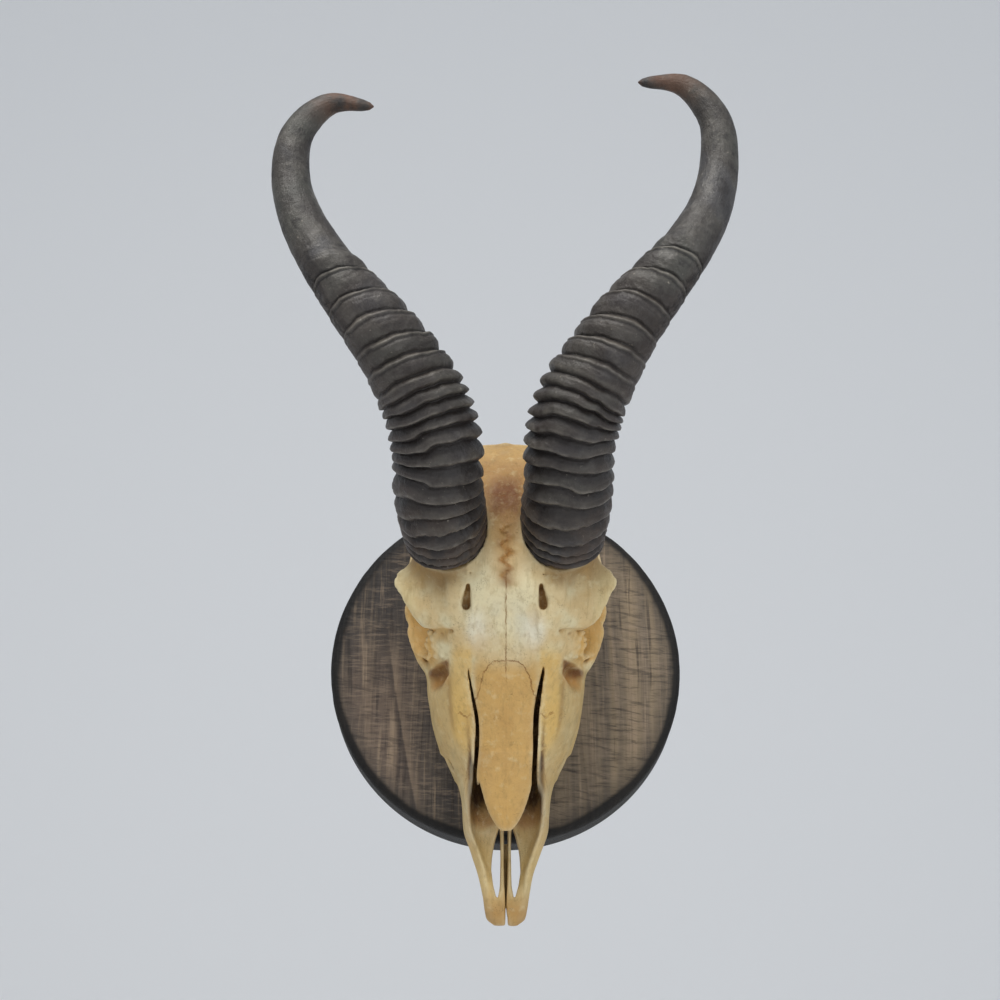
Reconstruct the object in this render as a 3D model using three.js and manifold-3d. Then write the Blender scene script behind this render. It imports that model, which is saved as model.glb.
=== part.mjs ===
// A springbok skull with its horns, fixed flat on a round wooden wall plaque. Millimetres, +Z up.
// The plaque's back lies on y = 0 and faces +Y. The skull stands out to -Y, nose down, horns up.
// A place on the skull is written as x (sideways), h (height above the plaque's face) and z (up).

import * as THREE from 'three';
import { mergeVertices } from 'three/addons/utils/BufferGeometryUtils.js';
import Module from 'manifold-3d';

const wasm = await Module();
wasm.setup();

// Driving dimensions of the plaque
const plaqueDiameter = 165;
const plaqueThickness = 22;
const plaqueEdgeRound = 4;
const plaqueSegments = 48;

// Driving dimensions of the skull
const skullTop = 92;
const noseEnd = -121.5;
const toothTip = 0.4;
const gumHeight = 12.6;
const bodySides = 18;
const touchGap = 0.3;

// Driving dimensions of the horns
const hornBaseRadius = 18.2;
const hornDepthRatio = 1.14;
const hornSides = 12;
const hornRingCount = 17;
const ringLip = 1.8;
const firstRingSpan = 0.012;
const ringGrowthRight = 0.0027;
const ringGrowthLeft = 0.0026;
const pedicleRadius = 16.6;

// Driving dimensions of the fixings on the back
const screwHeight = 38;
const screwRadius = 2;
const screwHeadRadius = 4.2;
const screwHeadSink = 0.6;
const screwLength = 52;
const hangerHeight = 63;
const hangerLength = 42;
const hangerWidth = 8;
const hangerSheet = 1;
const hangerCorner = 1.4;
const recessDepth = 2.3;
const wallNailDepth = 7;
const nailSpacing = 34;
const nailRadius = 0.6;
const nailHeadRadius = 1.9;
const nailLength = 12;

// Materials, one for each kind of surface
const bone = new THREE.MeshStandardMaterial({ color: 0xcdb483, roughness: 0.62, metalness: 0 });
const horn = new THREE.MeshStandardMaterial({ color: 0x35312e, roughness: 0.55, metalness: 0 });
const enamel = new THREE.MeshStandardMaterial({ color: 0xd9cda6, roughness: 0.35, metalness: 0 });
const wood = new THREE.MeshStandardMaterial({ color: 0x5c524b, roughness: 0.72, metalness: 0 });
const steel = new THREE.MeshStandardMaterial({ color: 0x9a9a98, roughness: 0.4, metalness: 1 });

// A point on the skull, from its place above the plaque's face
function onBoard(x, h, z) {
  return new THREE.Vector3(x, -(plaqueThickness + h), z);
}

// The volume that a geometry encloses, negative where its faces point in
function signedVolume(geometry) {
  const place = geometry.getAttribute('position');
  const corner = [new THREE.Vector3(), new THREE.Vector3(), new THREE.Vector3()];
  let sum = 0;
  for (let i = 0; i < geometry.index.count; i += 3) {
    corner.forEach((c, k) => c.fromBufferAttribute(place, geometry.index.getX(i + k)));
    sum += corner[0].dot(corner[1].clone().cross(corner[2])) / 6;
  }
  return sum;
}

// A manifold solid from a closed three.js geometry, turned right side out
function solidOf(geometry) {
  const plain = geometry.clone();
  plain.deleteAttribute('normal');
  plain.deleteAttribute('uv');
  const merged = mergeVertices(plain, 1e-4);
  const triVerts = Uint32Array.from(merged.index.array);
  if (signedVolume(merged) < 0) {
    for (let i = 0; i < triVerts.length; i += 3) {
      [triVerts[i + 1], triVerts[i + 2]] = [triVerts[i + 2], triVerts[i + 1]];
    }
  }
  const vertProperties = Float32Array.from(merged.getAttribute('position').array);
  return new wasm.Manifold(new wasm.Mesh({ numProp: 3, vertProperties, triVerts }));
}

// A three.js geometry from a manifold solid
function geometryOf(solid) {
  const mesh = solid.getMesh();
  const geometry = new THREE.BufferGeometry();
  geometry.setAttribute('position', new THREE.BufferAttribute(mesh.vertProperties, 3));
  geometry.setIndex(new THREE.BufferAttribute(mesh.triVerts, 1));
  return geometry;
}

function joined(solids) {
  return solids.reduce((sum, solid) => sum.add(solid));
}

// The same form on the right (side 1) and on the left (side -1)
function bothSides(make) {
  return [make(1), make(-1)];
}

// A closed solid through rings of points, each end closed round its middle. Wrapped rings have no ends.
function loft(rings, wrapped = false) {
  const around = rings[0].length;
  const places = rings.flat().flatMap((p) => [p.x, p.y, p.z]);
  const faces = [];
  const spans = wrapped ? rings.length : rings.length - 1;
  for (let i = 0; i < spans; i += 1) {
    const next = (i + 1) % rings.length;
    for (let k = 0; k < around; k += 1) {
      const side = (k + 1) % around;
      const a = i * around + k;
      const b = i * around + side;
      const c = next * around + k;
      const d = next * around + side;
      faces.push(a, b, d, a, d, c);
    }
  }
  if (!wrapped) {
    for (const end of [0, rings.length - 1]) {
      const middle = new THREE.Vector3();
      rings[end].forEach((p) => middle.addScaledVector(p, 1 / around));
      const centre = places.length / 3;
      places.push(middle.x, middle.y, middle.z);
      for (let k = 0; k < around; k += 1) {
        const a = end * around + k;
        const b = end * around + ((k + 1) % around);
        faces.push(...(end === 0 ? [b, a, centre] : [a, b, centre]));
      }
    }
  }
  const geometry = new THREE.BufferGeometry();
  geometry.setAttribute('position', new THREE.Float32BufferAttribute(places, 3));
  geometry.setIndex(faces);
  return solidOf(geometry);
}

// Rings swept along a curve, the side direction carried along without twist. The section gives each
// point's reach along the side direction and across it.
function sweep(curve, stops, sides, section, sideDirection, wrapped = false) {
  const side = sideDirection.clone();
  const rings = stops.map((t) => {
    const middle = curve.getPoint(t);
    const forward = curve.getTangent(t);
    side.addScaledVector(forward, -side.dot(forward)).normalize();
    const across = forward.clone().cross(side);
    return Array.from({ length: sides }, (_, k) => {
      const angle = (2 * Math.PI * k) / sides;
      const [alongSide, alongAcross] = section(t, angle);
      return middle.clone().addScaledVector(side, alongSide).addScaledVector(across, alongAcross);
    });
  });
  return loft(rings, wrapped);
}

function evenStops(count) {
  return Array.from({ length: count + 1 }, (_, i) => i / count);
}

// A rounded bar through points, its half width and half depth eased from start to end
function bar(points, startSize, endSize, sides, steps, sideDirection = new THREE.Vector3(1, 0, 0)) {
  const curve = new THREE.CatmullRomCurve3(points);
  const section = (t, angle) => [
    THREE.MathUtils.lerp(startSize[0], endSize[0], t) * Math.cos(angle),
    THREE.MathUtils.lerp(startSize[1], endSize[1], t) * Math.sin(angle),
  ];
  return sweep(curve, evenStops(steps), sides, section, sideDirection);
}

// An egg form at a place on the skull, with its reach in x, h and z
function egg(x, h, z, reachX, reachH, reachZ, around = 10, rows = 6) {
  const ball = new THREE.SphereGeometry(1, around, rows);
  ball.scale(reachX, reachH, reachZ);
  const middle = onBoard(x, h, z);
  ball.translate(middle.x, middle.y, middle.z);
  return solidOf(ball);
}

// A round peg along y between two heights above the plaque's face
function pegTowardBoard(x, z, radius, low, high, sides) {
  const peg = new THREE.CylinderGeometry(radius, radius, high - low, sides);
  const middle = onBoard(x, (low + high) / 2, z);
  peg.translate(middle.x, middle.y, middle.z);
  return solidOf(peg);
}

// Sections of the skull's long body, nose to nape. Each row holds z, then the right half of the
// outline from the top of the midline round to the underside, as pairs of x and h.
const bodySections = [
  [noseEnd, [0, 15.5], [3, 15.5], [6.5, 14.8], [8.6, 13.4], [8.6, 11.5], [5.5, 9.8], [0, 10.5]],
  [-118, [0, 16.5], [4, 17.5], [8, 16.6], [10.1, 14.6], [10.3, 12], [7.5, 9], [0, 9.8]],
  [-109, [0, 17], [4.5, 18.6], [8.5, 19.6], [10.6, 17], [11, 13], [8.5, 9], [0, 9.6]],
  [-99, [0, 16.5], [6.6, 18], [9.6, 23], [12, 20], [12.6, 14.5], [9.8, 9.4], [0, 10]],
  [-90, [0, 17], [9, 19.5], [12.7, 27.5], [14.9, 23], [15.6, 15.5], [12, 10], [0, 11]],
  [-80, [0, 18], [12.2, 23], [16, 35.5], [18, 29], [18.9, 18.5], [14, 11], [0, 12]],
  [-70, [0, 22], [12.8, 31], [16.4, 45], [18.8, 36.5], [19.6, 23], [16, 12], [0, 13.5]],
  [-61, [0, 54.5], [7.5, 54], [13.8, 50.5], [18.5, 41], [21.5, 26], [18, 12.5], [0, 15]],
  [-50, [0, 59.5], [7, 59], [13.5, 56], [22.5, 46], [27, 30], [22.5, 12.5], [0, 16]],
  [-40, [0, 63.5], [7, 63], [14, 59.8], [25.5, 50], [31, 34], [27, 13], [0, 16.5]],
  [-30, [0, 67.5], [8, 67], [15.5, 63.8], [27.5, 54], [33.3, 38], [29.5, 13.5], [0, 17]],
  [-18, [0, 72.5], [10, 72.2], [18, 69], [27.5, 59], [34.8, 43], [31, 14], [0, 17.5]],
  [-8, [0, 77], [12, 77], [22, 74.6], [29, 65], [34.5, 45], [30, 16], [0, 18]],
  [4, [0, 82], [13, 82.5], [25, 80.5], [24, 68], [19, 50], [21, 21], [0, 18.5]],
  [16, [0, 87], [13, 88], [26, 86], [23, 71], [17, 50], [17, 23], [0, 19]],
  [28, [0, 89], [12, 88.4], [27, 85], [26, 70], [20, 50], [15, 24], [0, 20]],
  [40, [0, 88.4], [11, 86.4], [25, 78], [29, 63], [26, 45], [15, 25], [0, 21]],
  [52, [0, 86.4], [13, 84], [24, 75], [31, 59], [28.5, 42], [16, 24], [0, 21]],
  [64, [0, 82], [14, 79.6], [24, 71.6], [31.5, 56.5], [30, 40], [17, 23], [0, 20]],
  [76, [0, 75.6], [13, 73.4], [23, 65.4], [29.5, 52], [29, 38], [16, 22], [0, 20]],
  [86, [0, 66.4], [12, 64.2], [21, 57.6], [27, 46], [25, 34], [12, 24], [0, 22]],
  [skullTop, [0, 54], [9, 52.5], [16, 48], [20, 41], [17, 33], [9, 26], [0, 25]],
];

// The whole outline of one section, right half then mirrored left half, as a closed curve
function sectionRing(half, z, around) {
  const left = half.slice(1, -1).reverse().map(([x, h]) => [-x, h]);
  const outline = [...half, ...left].map(([x, h]) => onBoard(x, h, z));
  const curve = new THREE.CatmullRomCurve3(outline, true);
  return Array.from({ length: around }, (_, i) => curve.getPoint(i / around));
}

// A solid through a list of sections, each point followed smoothly from section to section
function sculpted(sections, around) {
  const rows = sections.map(([z, ...half]) => ({ z, half }));
  const lines = rows[0].half.map((_, k) => {
    const points = rows.map(({ z, half }) => new THREE.Vector3(half[k][0], half[k][1], z));
    return new THREE.CatmullRomCurve3(points, false, 'catmullrom', 0.5);
  });
  const rings = rows.map((row, i) => {
    const points = lines.map((line) => line.getPoint(i / (rows.length - 1)));
    return sectionRing(points.map((p) => [Math.max(p.x, 0), p.y]), row.z, around);
  });
  return loft(rings);
}

// Sections of the nasal bones where they overhang the nose opening, tip to root
const nasalTipSections = [
  [-84, [0, 46], [1.6, 45.8], [3, 45], [2.4, 44.4], [0, 44.6]],
  [-81, [0, 47.6], [3, 47.2], [5, 45.8], [4.2, 44.8], [0, 45.4]],
  [-75, [0, 50], [5, 49.3], [8, 47], [7, 46], [0, 47.6]],
  [-68, [0, 52.6], [7, 51.4], [10.6, 49], [9.6, 47.8], [0, 49.8]],
  [-61, [0, 55.4], [8, 54], [11.9, 51.4], [10.8, 50], [0, 52.2]],
  [-52, [0, 59.4], [7.5, 58.4], [11.6, 56.4], [10.4, 54], [0, 56]],
];

// The brow over each eye: sections across the shelf, from the middle of the forehead out to the corner.
// Each row holds x, the front and back edges in z, the top height and the thickness.
const browSections = [
  [14, -7, 44, 84, 16],
  [24, -3, 42, 82, 15],
  [31, -1.2, 38, 79, 11],
  [36, 0.6, 34, 76.5, 8],
  [41, 5.8, 31, 74.6, 6.4],
  [45.4, 14, 27.5, 73, 5.2],
  [48.6, 19.6, 22.4, 71.6, 3.2],
];

function brow(side) {
  const rings = browSections.map(([x, front, back, top, thick]) => {
    const inset = (back - front) * 0.1;
    const outline = [
      [front, top - thick * 0.55],
      [front + inset, top - thick * 0.12],
      [(front + back) / 2, top + thick * 0.06],
      [back - inset, top - thick * 0.2],
      [back, top - thick * 0.6],
      [back - inset, top - thick],
      [(front + back) / 2, top - thick * 1.05],
      [front + inset, top - thick],
    ];
    return outline.map(([z, h]) => onBoard(side * x, h, z));
  });
  return loft(rings);
}

// The rim of each eye socket as x, h and z, once round: brow corner, back bar, cheek, front, brow
const eyeRimPath = [
  [46.8, 69.4, 20.6], [46, 60, 26], [45.4, 49.6, 24.6], [45.4, 42, 14.6], [43.6, 41.2, 3.6],
  [39.6, 45, -5], [34.6, 54, -8.2], [33.2, 63.6, -4.6], [36, 70, 1.4], [41.8, 71, 9.2],
];
const eyeRimSides = 14;

// Rings of one eye socket, from deep in the skull out to the rim: each as a share of the rim's
// size and a distance in from it
function eyeRings(side, steps) {
  const path = new THREE.CatmullRomCurve3(eyeRimPath.map(([x, h, z]) => onBoard(x, h, z)), true);
  const middle = onBoard(0, 56, 9);
  return steps.map(([share, inward]) => Array.from({ length: eyeRimSides }, (_, i) => {
    const p = path.getPoint(i / eyeRimSides);
    p.y = THREE.MathUtils.lerp(middle.y, p.y, share);
    p.z = THREE.MathUtils.lerp(middle.z, p.z, share);
    return new THREE.Vector3(side * (p.x - inward), p.y, p.z);
  }));
}

// The bony cup round each eye, and the hollow inside it
function eyeCup(side) {
  return loft(eyeRings(side, [[0.7, 22], [0.96, 11], [1.1, 3.4], [1.06, 0]]));
}

function eyeHollow(side) {
  return loft(eyeRings(side, [[0.45, 22], [0.78, 16.5], [0.9, 8], [0.86, 1.4], [0.9, -6]]));
}

// The bulge of bone in front of the eye, over the pit in the face
function tearBone(side) {
  return egg(side * 28.5, 57.5, -4.4, 8, 12, 7.4, 8, 6);
}

// The gap behind the eye, between the back bar and the side of the braincase
function templeHollow(side) {
  return egg(side * 33, 52, 33, 9.4, 16, 10, 10, 6);
}

// The cheek arch, from under the eye socket back to the side of the braincase
function cheekArch(side) {
  const path = [[43.6, 39.5, 17], [44, 38, 30], [42, 37.5, 43], [37, 39, 54], [28, 43, 61]];
  return bar(path.map(([x, h, z]) => onBoard(side * x, h, z)), [2, 4.2], [3.4, 5], 6, 7);
}

// The cheek bone between the socket's lower rim and the upper jaw
function cheekPlate(side) {
  const path = [[30.4, 31, -23], [33, 35.4, -13], [38, 38.6, -5], [42, 39.4, 9]];
  return bar(path.map(([x, h, z]) => onBoard(side * x, h, z)), [1.8, 5.5], [2.8, 4.2], 8, 5);
}

// The bony stub that the horn sheath stands on, square to the horn's first direction
function pedicle(side, hornPath) {
  const base = hornPath.getPoint(0);
  const forward = hornPath.getTangent(0);
  const depth = 20;
  const footRatio = 0.86;
  const foot = base.clone().addScaledVector(forward, -depth);
  const curve = new THREE.LineCurve3(foot, base.clone().addScaledVector(forward, -touchGap));
  const section = (t, angle) => {
    const radius = THREE.MathUtils.lerp(pedicleRadius * footRatio, pedicleRadius, t);
    return [radius * Math.cos(angle), radius * hornDepthRatio * Math.sin(angle)];
  };
  return sweep(curve, evenStops(1), hornSides, section, new THREE.Vector3(side, 0, 0));
}

// Room for the horn's base, cut out of the forehead, so that bone and sheath only meet
function hornSeat(side, hornPath) {
  const room = 1.8;
  const stops = [0, 0.08, 0.17];
  const forward = hornPath.getTangent(0);
  const rings = stops.map((t, i) => {
    const middle = hornPath.getPoint(t);
    if (i === 0) {
      middle.addScaledVector(forward, -touchGap);
    }
    const across = hornPath.getTangent(t).cross(new THREE.Vector3(side, 0, 0)).normalize();
    const sideways = across.clone().cross(hornPath.getTangent(t));
    return Array.from({ length: hornSides }, (_, k) => {
      const angle = (2 * Math.PI * k) / hornSides;
      const radius = hornRadius(t) + room;
      return middle.clone().addScaledVector(sideways, radius * Math.cos(angle))
        .addScaledVector(across, radius * hornDepthRatio * Math.sin(angle));
    });
  });
  return loft(rings);
}

// Tooth ridge of the upper jaw, with a level edge that the teeth stand under
function toothRidge(side) {
  const rings = [[-57, 17.5, 4], [-46, 20.5, 5], [-30, 24, 6.2], [-12, 25.5, 6.8], [6, 24.5, 6.4]].map(
    ([z, middle, half]) => {
      const low = gumHeight + touchGap;
      const high = 24;
      const corners = [[middle - half, low], [middle + half, low], [middle + half, high], [middle - half, high]];
      return corners.map(([x, h]) => onBoard(side * x, h, z));
    },
  );
  return loft(rings);
}

// Level bed above the teeth, so that nothing of the jaw reaches below the tooth ridge beside them
function toothBed(side) {
  const front = -56;
  const back = 7;
  const inner = 15;
  const outer = 36;
  const box = new THREE.BoxGeometry(outer - inner, gumHeight + touchGap, back - front);
  const middle = onBoard(side * (inner + outer) / 2, (gumHeight + touchGap) / 2, (front + back) / 2);
  box.translate(middle.x, middle.y, middle.z);
  return solidOf(box);
}

// Ear region and nape: ear bulb, ear opening tube, side process, joint knob, all on one side
function nape(side) {
  const bulb = egg(side * 16, 17, 66, 6.5, 9, 9.5, 8, 6);
  const earTube = bar([onBoard(side * 26, 38, 64), onBoard(side * 33.5, 41, 66)], [4.4, 4.4], [3.6, 3.6], 8, 1,
    new THREE.Vector3(0, 0, 1));
  const processPath = [[19, 34, 84], [21.5, 22, 84], [21, 11, 80], [20, 3, 77]];
  const process = bar(processPath.map(([x, h, z]) => onBoard(side * x, h, z)), [4.4, 6], [1.6, 2.2], 6, 4);
  const knob = egg(side * 9, 29, 91, 6, 9, 6.4, 8, 6);
  return [bulb, earTube, process, knob];
}

// The crest over the nape, from ear to ear
function napeCrest() {
  const half = [[25, 35, 85], [25.4, 44.6, 86.6], [19.8, 55, 87.6], [11, 60, 88]];
  const otherHalf = half.map(([x, h, z]) => [-x, h, z]).reverse();
  const path = [...half, [0, 62, 88], ...otherHalf];
  return bar(path.map(([x, h, z]) => onBoard(x, h, z)), [1.6, 1.6], [1.6, 1.6], 6, 10, new THREE.Vector3(0, -1, 0));
}

// Two thin rods side by side in the slots of the palate
function palateRods() {
  return bothSides((side) => {
    const path = [[side * 1.35, 14, -113], [side * 1.35, 15.6, -98], [side * 1.5, 16.4, -84], [side * 1.7, 17, -74]];
    return bar(path.map(([x, h, z]) => onBoard(x, h, z)), [1, 1.8], [0.9, 1.4], 6, 3);
  });
}

// The thin wing of bone behind the palate, on each side of the throat opening
function palateWing(side) {
  const path = [[11, 14, 4], [10, 13, 14], [9, 15, 26], [9, 20, 40]];
  return bar(path.map(([x, h, z]) => onBoard(side * x, h, z)), [1.6, 5], [2, 4], 6, 3);
}

// Hollow inside the nose, open in front below the nasal bones
const noseHollowSections = [
  [-72, [0, 47.5], [7.6, 46.6], [13.4, 41], [14.6, 30], [10, 21], [0, 19.5]],
  [-61, [0, 51.4], [7.4, 50.4], [12.6, 46], [16, 34], [13, 22], [0, 20.5]],
  [-46, [0, 57.6], [7, 56.8], [12.6, 52.6], [19, 38], [17, 25], [0, 21]],
  [-28, [0, 64.6], [7, 64], [13.6, 60], [20, 44], [18, 27], [0, 22]],
  [-12, [0, 66], [5, 65.6], [9, 62], [11, 50], [8, 34], [0, 28]],
];

// Slots that part the nasal bones from the jaw bones: x and z along the slot, then its width
const slotRight = {
  path: [[16.4, -17], [15, -25], [13.2, -37], [12.9, -50], [12.4, -60], [12.6, -66]],
  width: 2.1,
};
const slotLeft = {
  path: [[16.4, -17.5], [14.7, -28], [12.7, -38.4], [12.7, -49.6], [13.6, -60], [13.8, -66]],
  width: 1.5,
};

function noseSlot(side, { path, width }) {
  const low = 40;
  const high = 78;
  const rings = path.map(([x, z], i) => {
    const half = (i === 0 ? 0.4 : 1) * width * 0.5;
    const corners = [[x - half, low], [x + half, low], [x + half, high], [x - half, high]];
    return corners.map(([cornerX, h]) => onBoard(side * cornerX, h, z));
  });
  return loft(rings);
}

// The two long slots through the palate behind the front of the jaw, cut as one and bridged by the rods
function palateSlots() {
  const outline = [[-110.5, 2.6], [-106, 5.4], [-99, 6.4], [-91, 5.6], [-84, 4], [-79, 2.4]];
  const rings = outline.map(([z, half]) => {
    const corners = [[-half, 4], [half, 4], [half, 27], [-half, 27]];
    return corners.map(([x, h]) => onBoard(x, h, z));
  });
  return loft(rings);
}

// Small hollows on one side: brow hole with its groove, pit in front of the eye, ear opening
function sideHollows(side) {
  const browHole = egg(side * 16.4, 86.5, 10.4, 1.7, 5, 5.4, 8, 6);
  const browPit = egg(side * 16.6, 88.4, 17.2, 1.2, 2, 1.2, 6, 4);
  const facePit = egg(side * 29.8, 56, -14.4, 4.6, 9, 5.2, 8, 6);
  const earHole = egg(side * 34, 41, 66, 4, 2, 2, 6, 4);
  return [browHole, browPit, facePit, earHole];
}

// Notch at the front of the jaw, between its two halves
function noseNotch() {
  return egg(0.3, 16.8, -121, 0.9, 3, 7, 6, 4);
}

// Throat opening under the skull, and the opening for the spine at the nape
function underHollows() {
  const throat = egg(0, 17, 14, 7.4, 10, 15, 10, 6);
  const spine = new THREE.CylinderGeometry(7.6, 6.4, 26, 12);
  spine.rotateX(Math.PI / 2);
  const middle = onBoard(0, 36.5, 84);
  spine.translate(middle.x, middle.y, middle.z);
  return [throat, solidOf(spine)];
}

// Pocket in the base of the skull that the screw from the back of the plaque goes into
function screwPocket() {
  return pegTowardBoard(0, screwHeight, screwRadius + 0.45, 10, screwLength - plaqueThickness + 1, 8);
}

function skullSolid(hornPaths) {
  const forms = [
    sculpted(bodySections, bodySides),
    sculpted(nasalTipSections, 8),
    ...bothSides(brow),
    ...bothSides(eyeCup),
    ...bothSides(tearBone),
    ...bothSides(cheekArch),
    ...bothSides(cheekPlate),
    ...bothSides(toothRidge),
    ...bothSides(palateWing),
    ...bothSides(nape).flat(),
    pedicle(1, hornPaths.right),
    pedicle(-1, hornPaths.left),
    napeCrest(),
  ];
  const hollows = [
    sculpted(noseHollowSections, 10),
    noseSlot(1, slotRight),
    noseSlot(-1, slotLeft),
    palateSlots(),
    noseNotch(),
    ...bothSides(eyeHollow),
    ...bothSides(templeHollow),
    ...bothSides(toothBed),
    ...bothSides(sideHollows).flat(),
    ...underHollows(),
    hornSeat(1, hornPaths.right),
    hornSeat(-1, hornPaths.left),
    screwPocket(),
  ];
  return joined([joined(forms).subtract(joined(hollows)), ...palateRods()]);
}

// Middle line of each horn, base to tip, as x, h and z. The two differ a little, as horns do.
const hornPathRight = [
  [25, 79, 40], [27, 103, 53], [27.5, 121.5, 67.5], [32, 135, 82.5], [41.5, 144, 97], [52, 150, 112.5],
  [64.5, 152.5, 128], [76.5, 152.5, 144.5], [87, 151.5, 164], [92, 150, 186], [90.5, 150.5, 208],
  [77.5, 152.5, 223], [57.5, 156.5, 222.5],
];
const hornPathLeft = [
  [-26, 79, 40], [-29.5, 102, 52], [-29.5, 120, 66], [-34, 133, 81], [-43, 142, 95], [-54, 148, 109.5],
  [-66, 150, 124.5], [-77.5, 150.5, 141], [-87.5, 149.5, 160], [-93, 148, 181], [-90.5, 148.5, 202],
  [-77, 150.5, 215], [-57.5, 154, 212],
];

function hornCurve(path) {
  return new THREE.CatmullRomCurve3(path.map(([x, h, z]) => onBoard(x, h, z)));
}

// Thickness of the horn along its length: share of the length, share of the base radius
const hornTaper = [
  [0, 0.98], [0.08, 0.97], [0.2, 0.99], [0.29, 0.95], [0.37, 0.84], [0.45, 0.75], [0.53, 0.64], [0.62, 0.57],
  [0.7, 0.49], [0.79, 0.43], [0.87, 0.35], [0.92, 0.27], [0.956, 0.2], [0.98, 0.17], [0.993, 0.11], [1, 0.02],
];

function hornRadius(t) {
  const after = hornTaper.findIndex(([share]) => share >= t);
  if (after <= 0) {
    return hornBaseRadius * hornTaper[0][1];
  }
  const [t0, r0] = hornTaper[after - 1];
  const [t1, r1] = hornTaper[after];
  return hornBaseRadius * THREE.MathUtils.mapLinear(t, t0, t1, r0, r1);
}

// Rings along the horn, crowded at the base and wider apart going up. Each starts at a groove.
function hornRings(spanGrowth) {
  const rings = [];
  let start = 0;
  for (let i = 0; i < hornRingCount; i += 1) {
    const span = firstRingSpan + spanGrowth * i;
    const fade = THREE.MathUtils.clamp((hornRingCount - i) / 5, 0.3, 1);
    const grow = THREE.MathUtils.clamp((i + 2) / 7, 0.3, 1);
    rings.push({ start, span, lip: ringLip * fade * grow });
    start += span;
  }
  return rings;
}

// Stops along the horn with the height of the surface there: groove, rising side and crest of each
// ring, then the smooth length up to the blunt tip
function hornStops(spanGrowth) {
  const stops = [];
  let end = 0;
  for (const { start, span, lip } of hornRings(spanGrowth)) {
    stops.push({ t: start, lift: -0.4 * lip });
    stops.push({ t: start + span * 0.3, lift: 0.5 * lip });
    stops.push({ t: start + span * 0.7, lift: lip });
    end = start + span;
  }
  const smoothSteps = 8;
  const tipStart = 0.94;
  for (let i = 0; i <= smoothSteps; i += 1) {
    stops.push({ t: THREE.MathUtils.lerp(end, tipStart, i / smoothSteps), lift: 0 });
  }
  stops.push({ t: 0.975, lift: 0 }, { t: 0.993, lift: 0 }, { t: 1, lift: 0 });
  return stops;
}

// One horn sheath. Its rings stand out on the front and inner side and are weaker at the back.
function hornSolid(side, curve, spanGrowth) {
  const stops = hornStops(spanGrowth);
  const liftAt = new Map(stops.map(({ t, lift }) => [t, lift]));
  const section = (t, angle) => {
    const radius = hornRadius(t);
    const depth = radius * THREE.MathUtils.lerp(hornDepthRatio, 1.02, Math.min(1, t * 2));
    const outward = Math.cos(angle);
    const lift = liftAt.get(t) * (1 - 0.35 * Math.max(0, outward) * Math.min(1, t * 2.2));
    return [(radius + lift) * Math.cos(angle), (depth + lift) * Math.sin(angle)];
  };
  return sweep(curve, stops.map(({ t }) => t), hornSides, section, new THREE.Vector3(side, 0, 0));
}

// Upper cheek teeth, front to back: name, middle z, half length along the jaw, half width, middle x
const cheekTeeth = [
  ['premolar_2', -51.6, 3.6, 3, 19.2],
  ['premolar_3', -43, 4.2, 4, 21.4],
  ['premolar_4', -34.2, 4, 4.8, 23.2],
  ['molar_1', -24.4, 5.2, 5.6, 24.7],
  ['molar_2', -12.4, 6.2, 6, 25.4],
  ['molar_3', 0.2, 5.8, 5.6, 24.8],
];

// One cheek tooth: a tall crown with two rounded lobes inside and ribs outside, worn flat below
function toothSolid(side, z, halfLength, halfWidth, x) {
  const outline = [
    [-0.98, 0.9], [-0.4, 0.84], [0, 1.04], [0.4, 0.84], [0.98, 0.9],
    [0.8, -0.66], [0.45, -1], [0, -0.5], [-0.45, -1], [-0.8, -0.66],
  ];
  const wornEdge = 0.9;
  const rings = [[gumHeight, 0.9], [toothTip + wornEdge, 0.97], [toothTip, 0.84]].map(([h, size]) => {
    const wide = halfWidth * size;
    const long = halfLength * size;
    return outline.map(([along, out]) => onBoard(side * (x + out * wide), h, z + along * long));
  });
  return loft(rings);
}

// A solid turned from a profile of radius and height, with its axis laid along y. High is toward +Y.
function turned(profile, segments, x, y, z) {
  const lathe = new THREE.LatheGeometry(profile.map(([r, up]) => new THREE.Vector2(r, up)), segments);
  lathe.translate(x, y, z);
  return solidOf(lathe);
}

function plaqueBody() {
  const radius = plaqueDiameter / 2;
  const front = -plaqueThickness;
  const round = plaqueEdgeRound;
  const backRound = 1;
  const profile = [[0, front], [radius - round, front]];
  for (const turn of [45, 90]) {
    const angle = THREE.MathUtils.degToRad(turn);
    profile.push([radius - round + round * Math.sin(angle), front + round - round * Math.cos(angle)]);
  }
  profile.push([radius, -backRound], [radius - backRound, 0], [0, 0]);
  return turned(profile, plaqueSegments, 0, 0, 0);
}

// A flat shape in x and z, given its thickness between two places along y
function plate(shape, fromY, toY, z, curveSegments = 6) {
  const slab = new THREE.ExtrudeGeometry(shape, { depth: toY - fromY, bevelEnabled: false, curveSegments });
  slab.rotateX(Math.PI / 2);
  slab.translate(0, toY, z);
  return solidOf(slab);
}

function slotShape(length, width) {
  const shape = new THREE.Shape();
  const half = length / 2 - width / 2;
  shape.absarc(half, 0, width / 2, -Math.PI / 2, Math.PI / 2, false);
  shape.absarc(-half, 0, width / 2, Math.PI / 2, (3 * Math.PI) / 2, false);
  return shape;
}

// Stepped recess for the hanger: a shallow slot for the plate and a deeper one for the wall nail's head
function hangerRecess() {
  const above = 1;
  const shallow = plate(slotShape(hangerLength + 6, hangerWidth + 5), -recessDepth, above, hangerHeight);
  const deep = plate(slotShape(24, 9), -wallNailDepth, above, hangerHeight - 1);
  return [shallow, deep];
}

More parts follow.
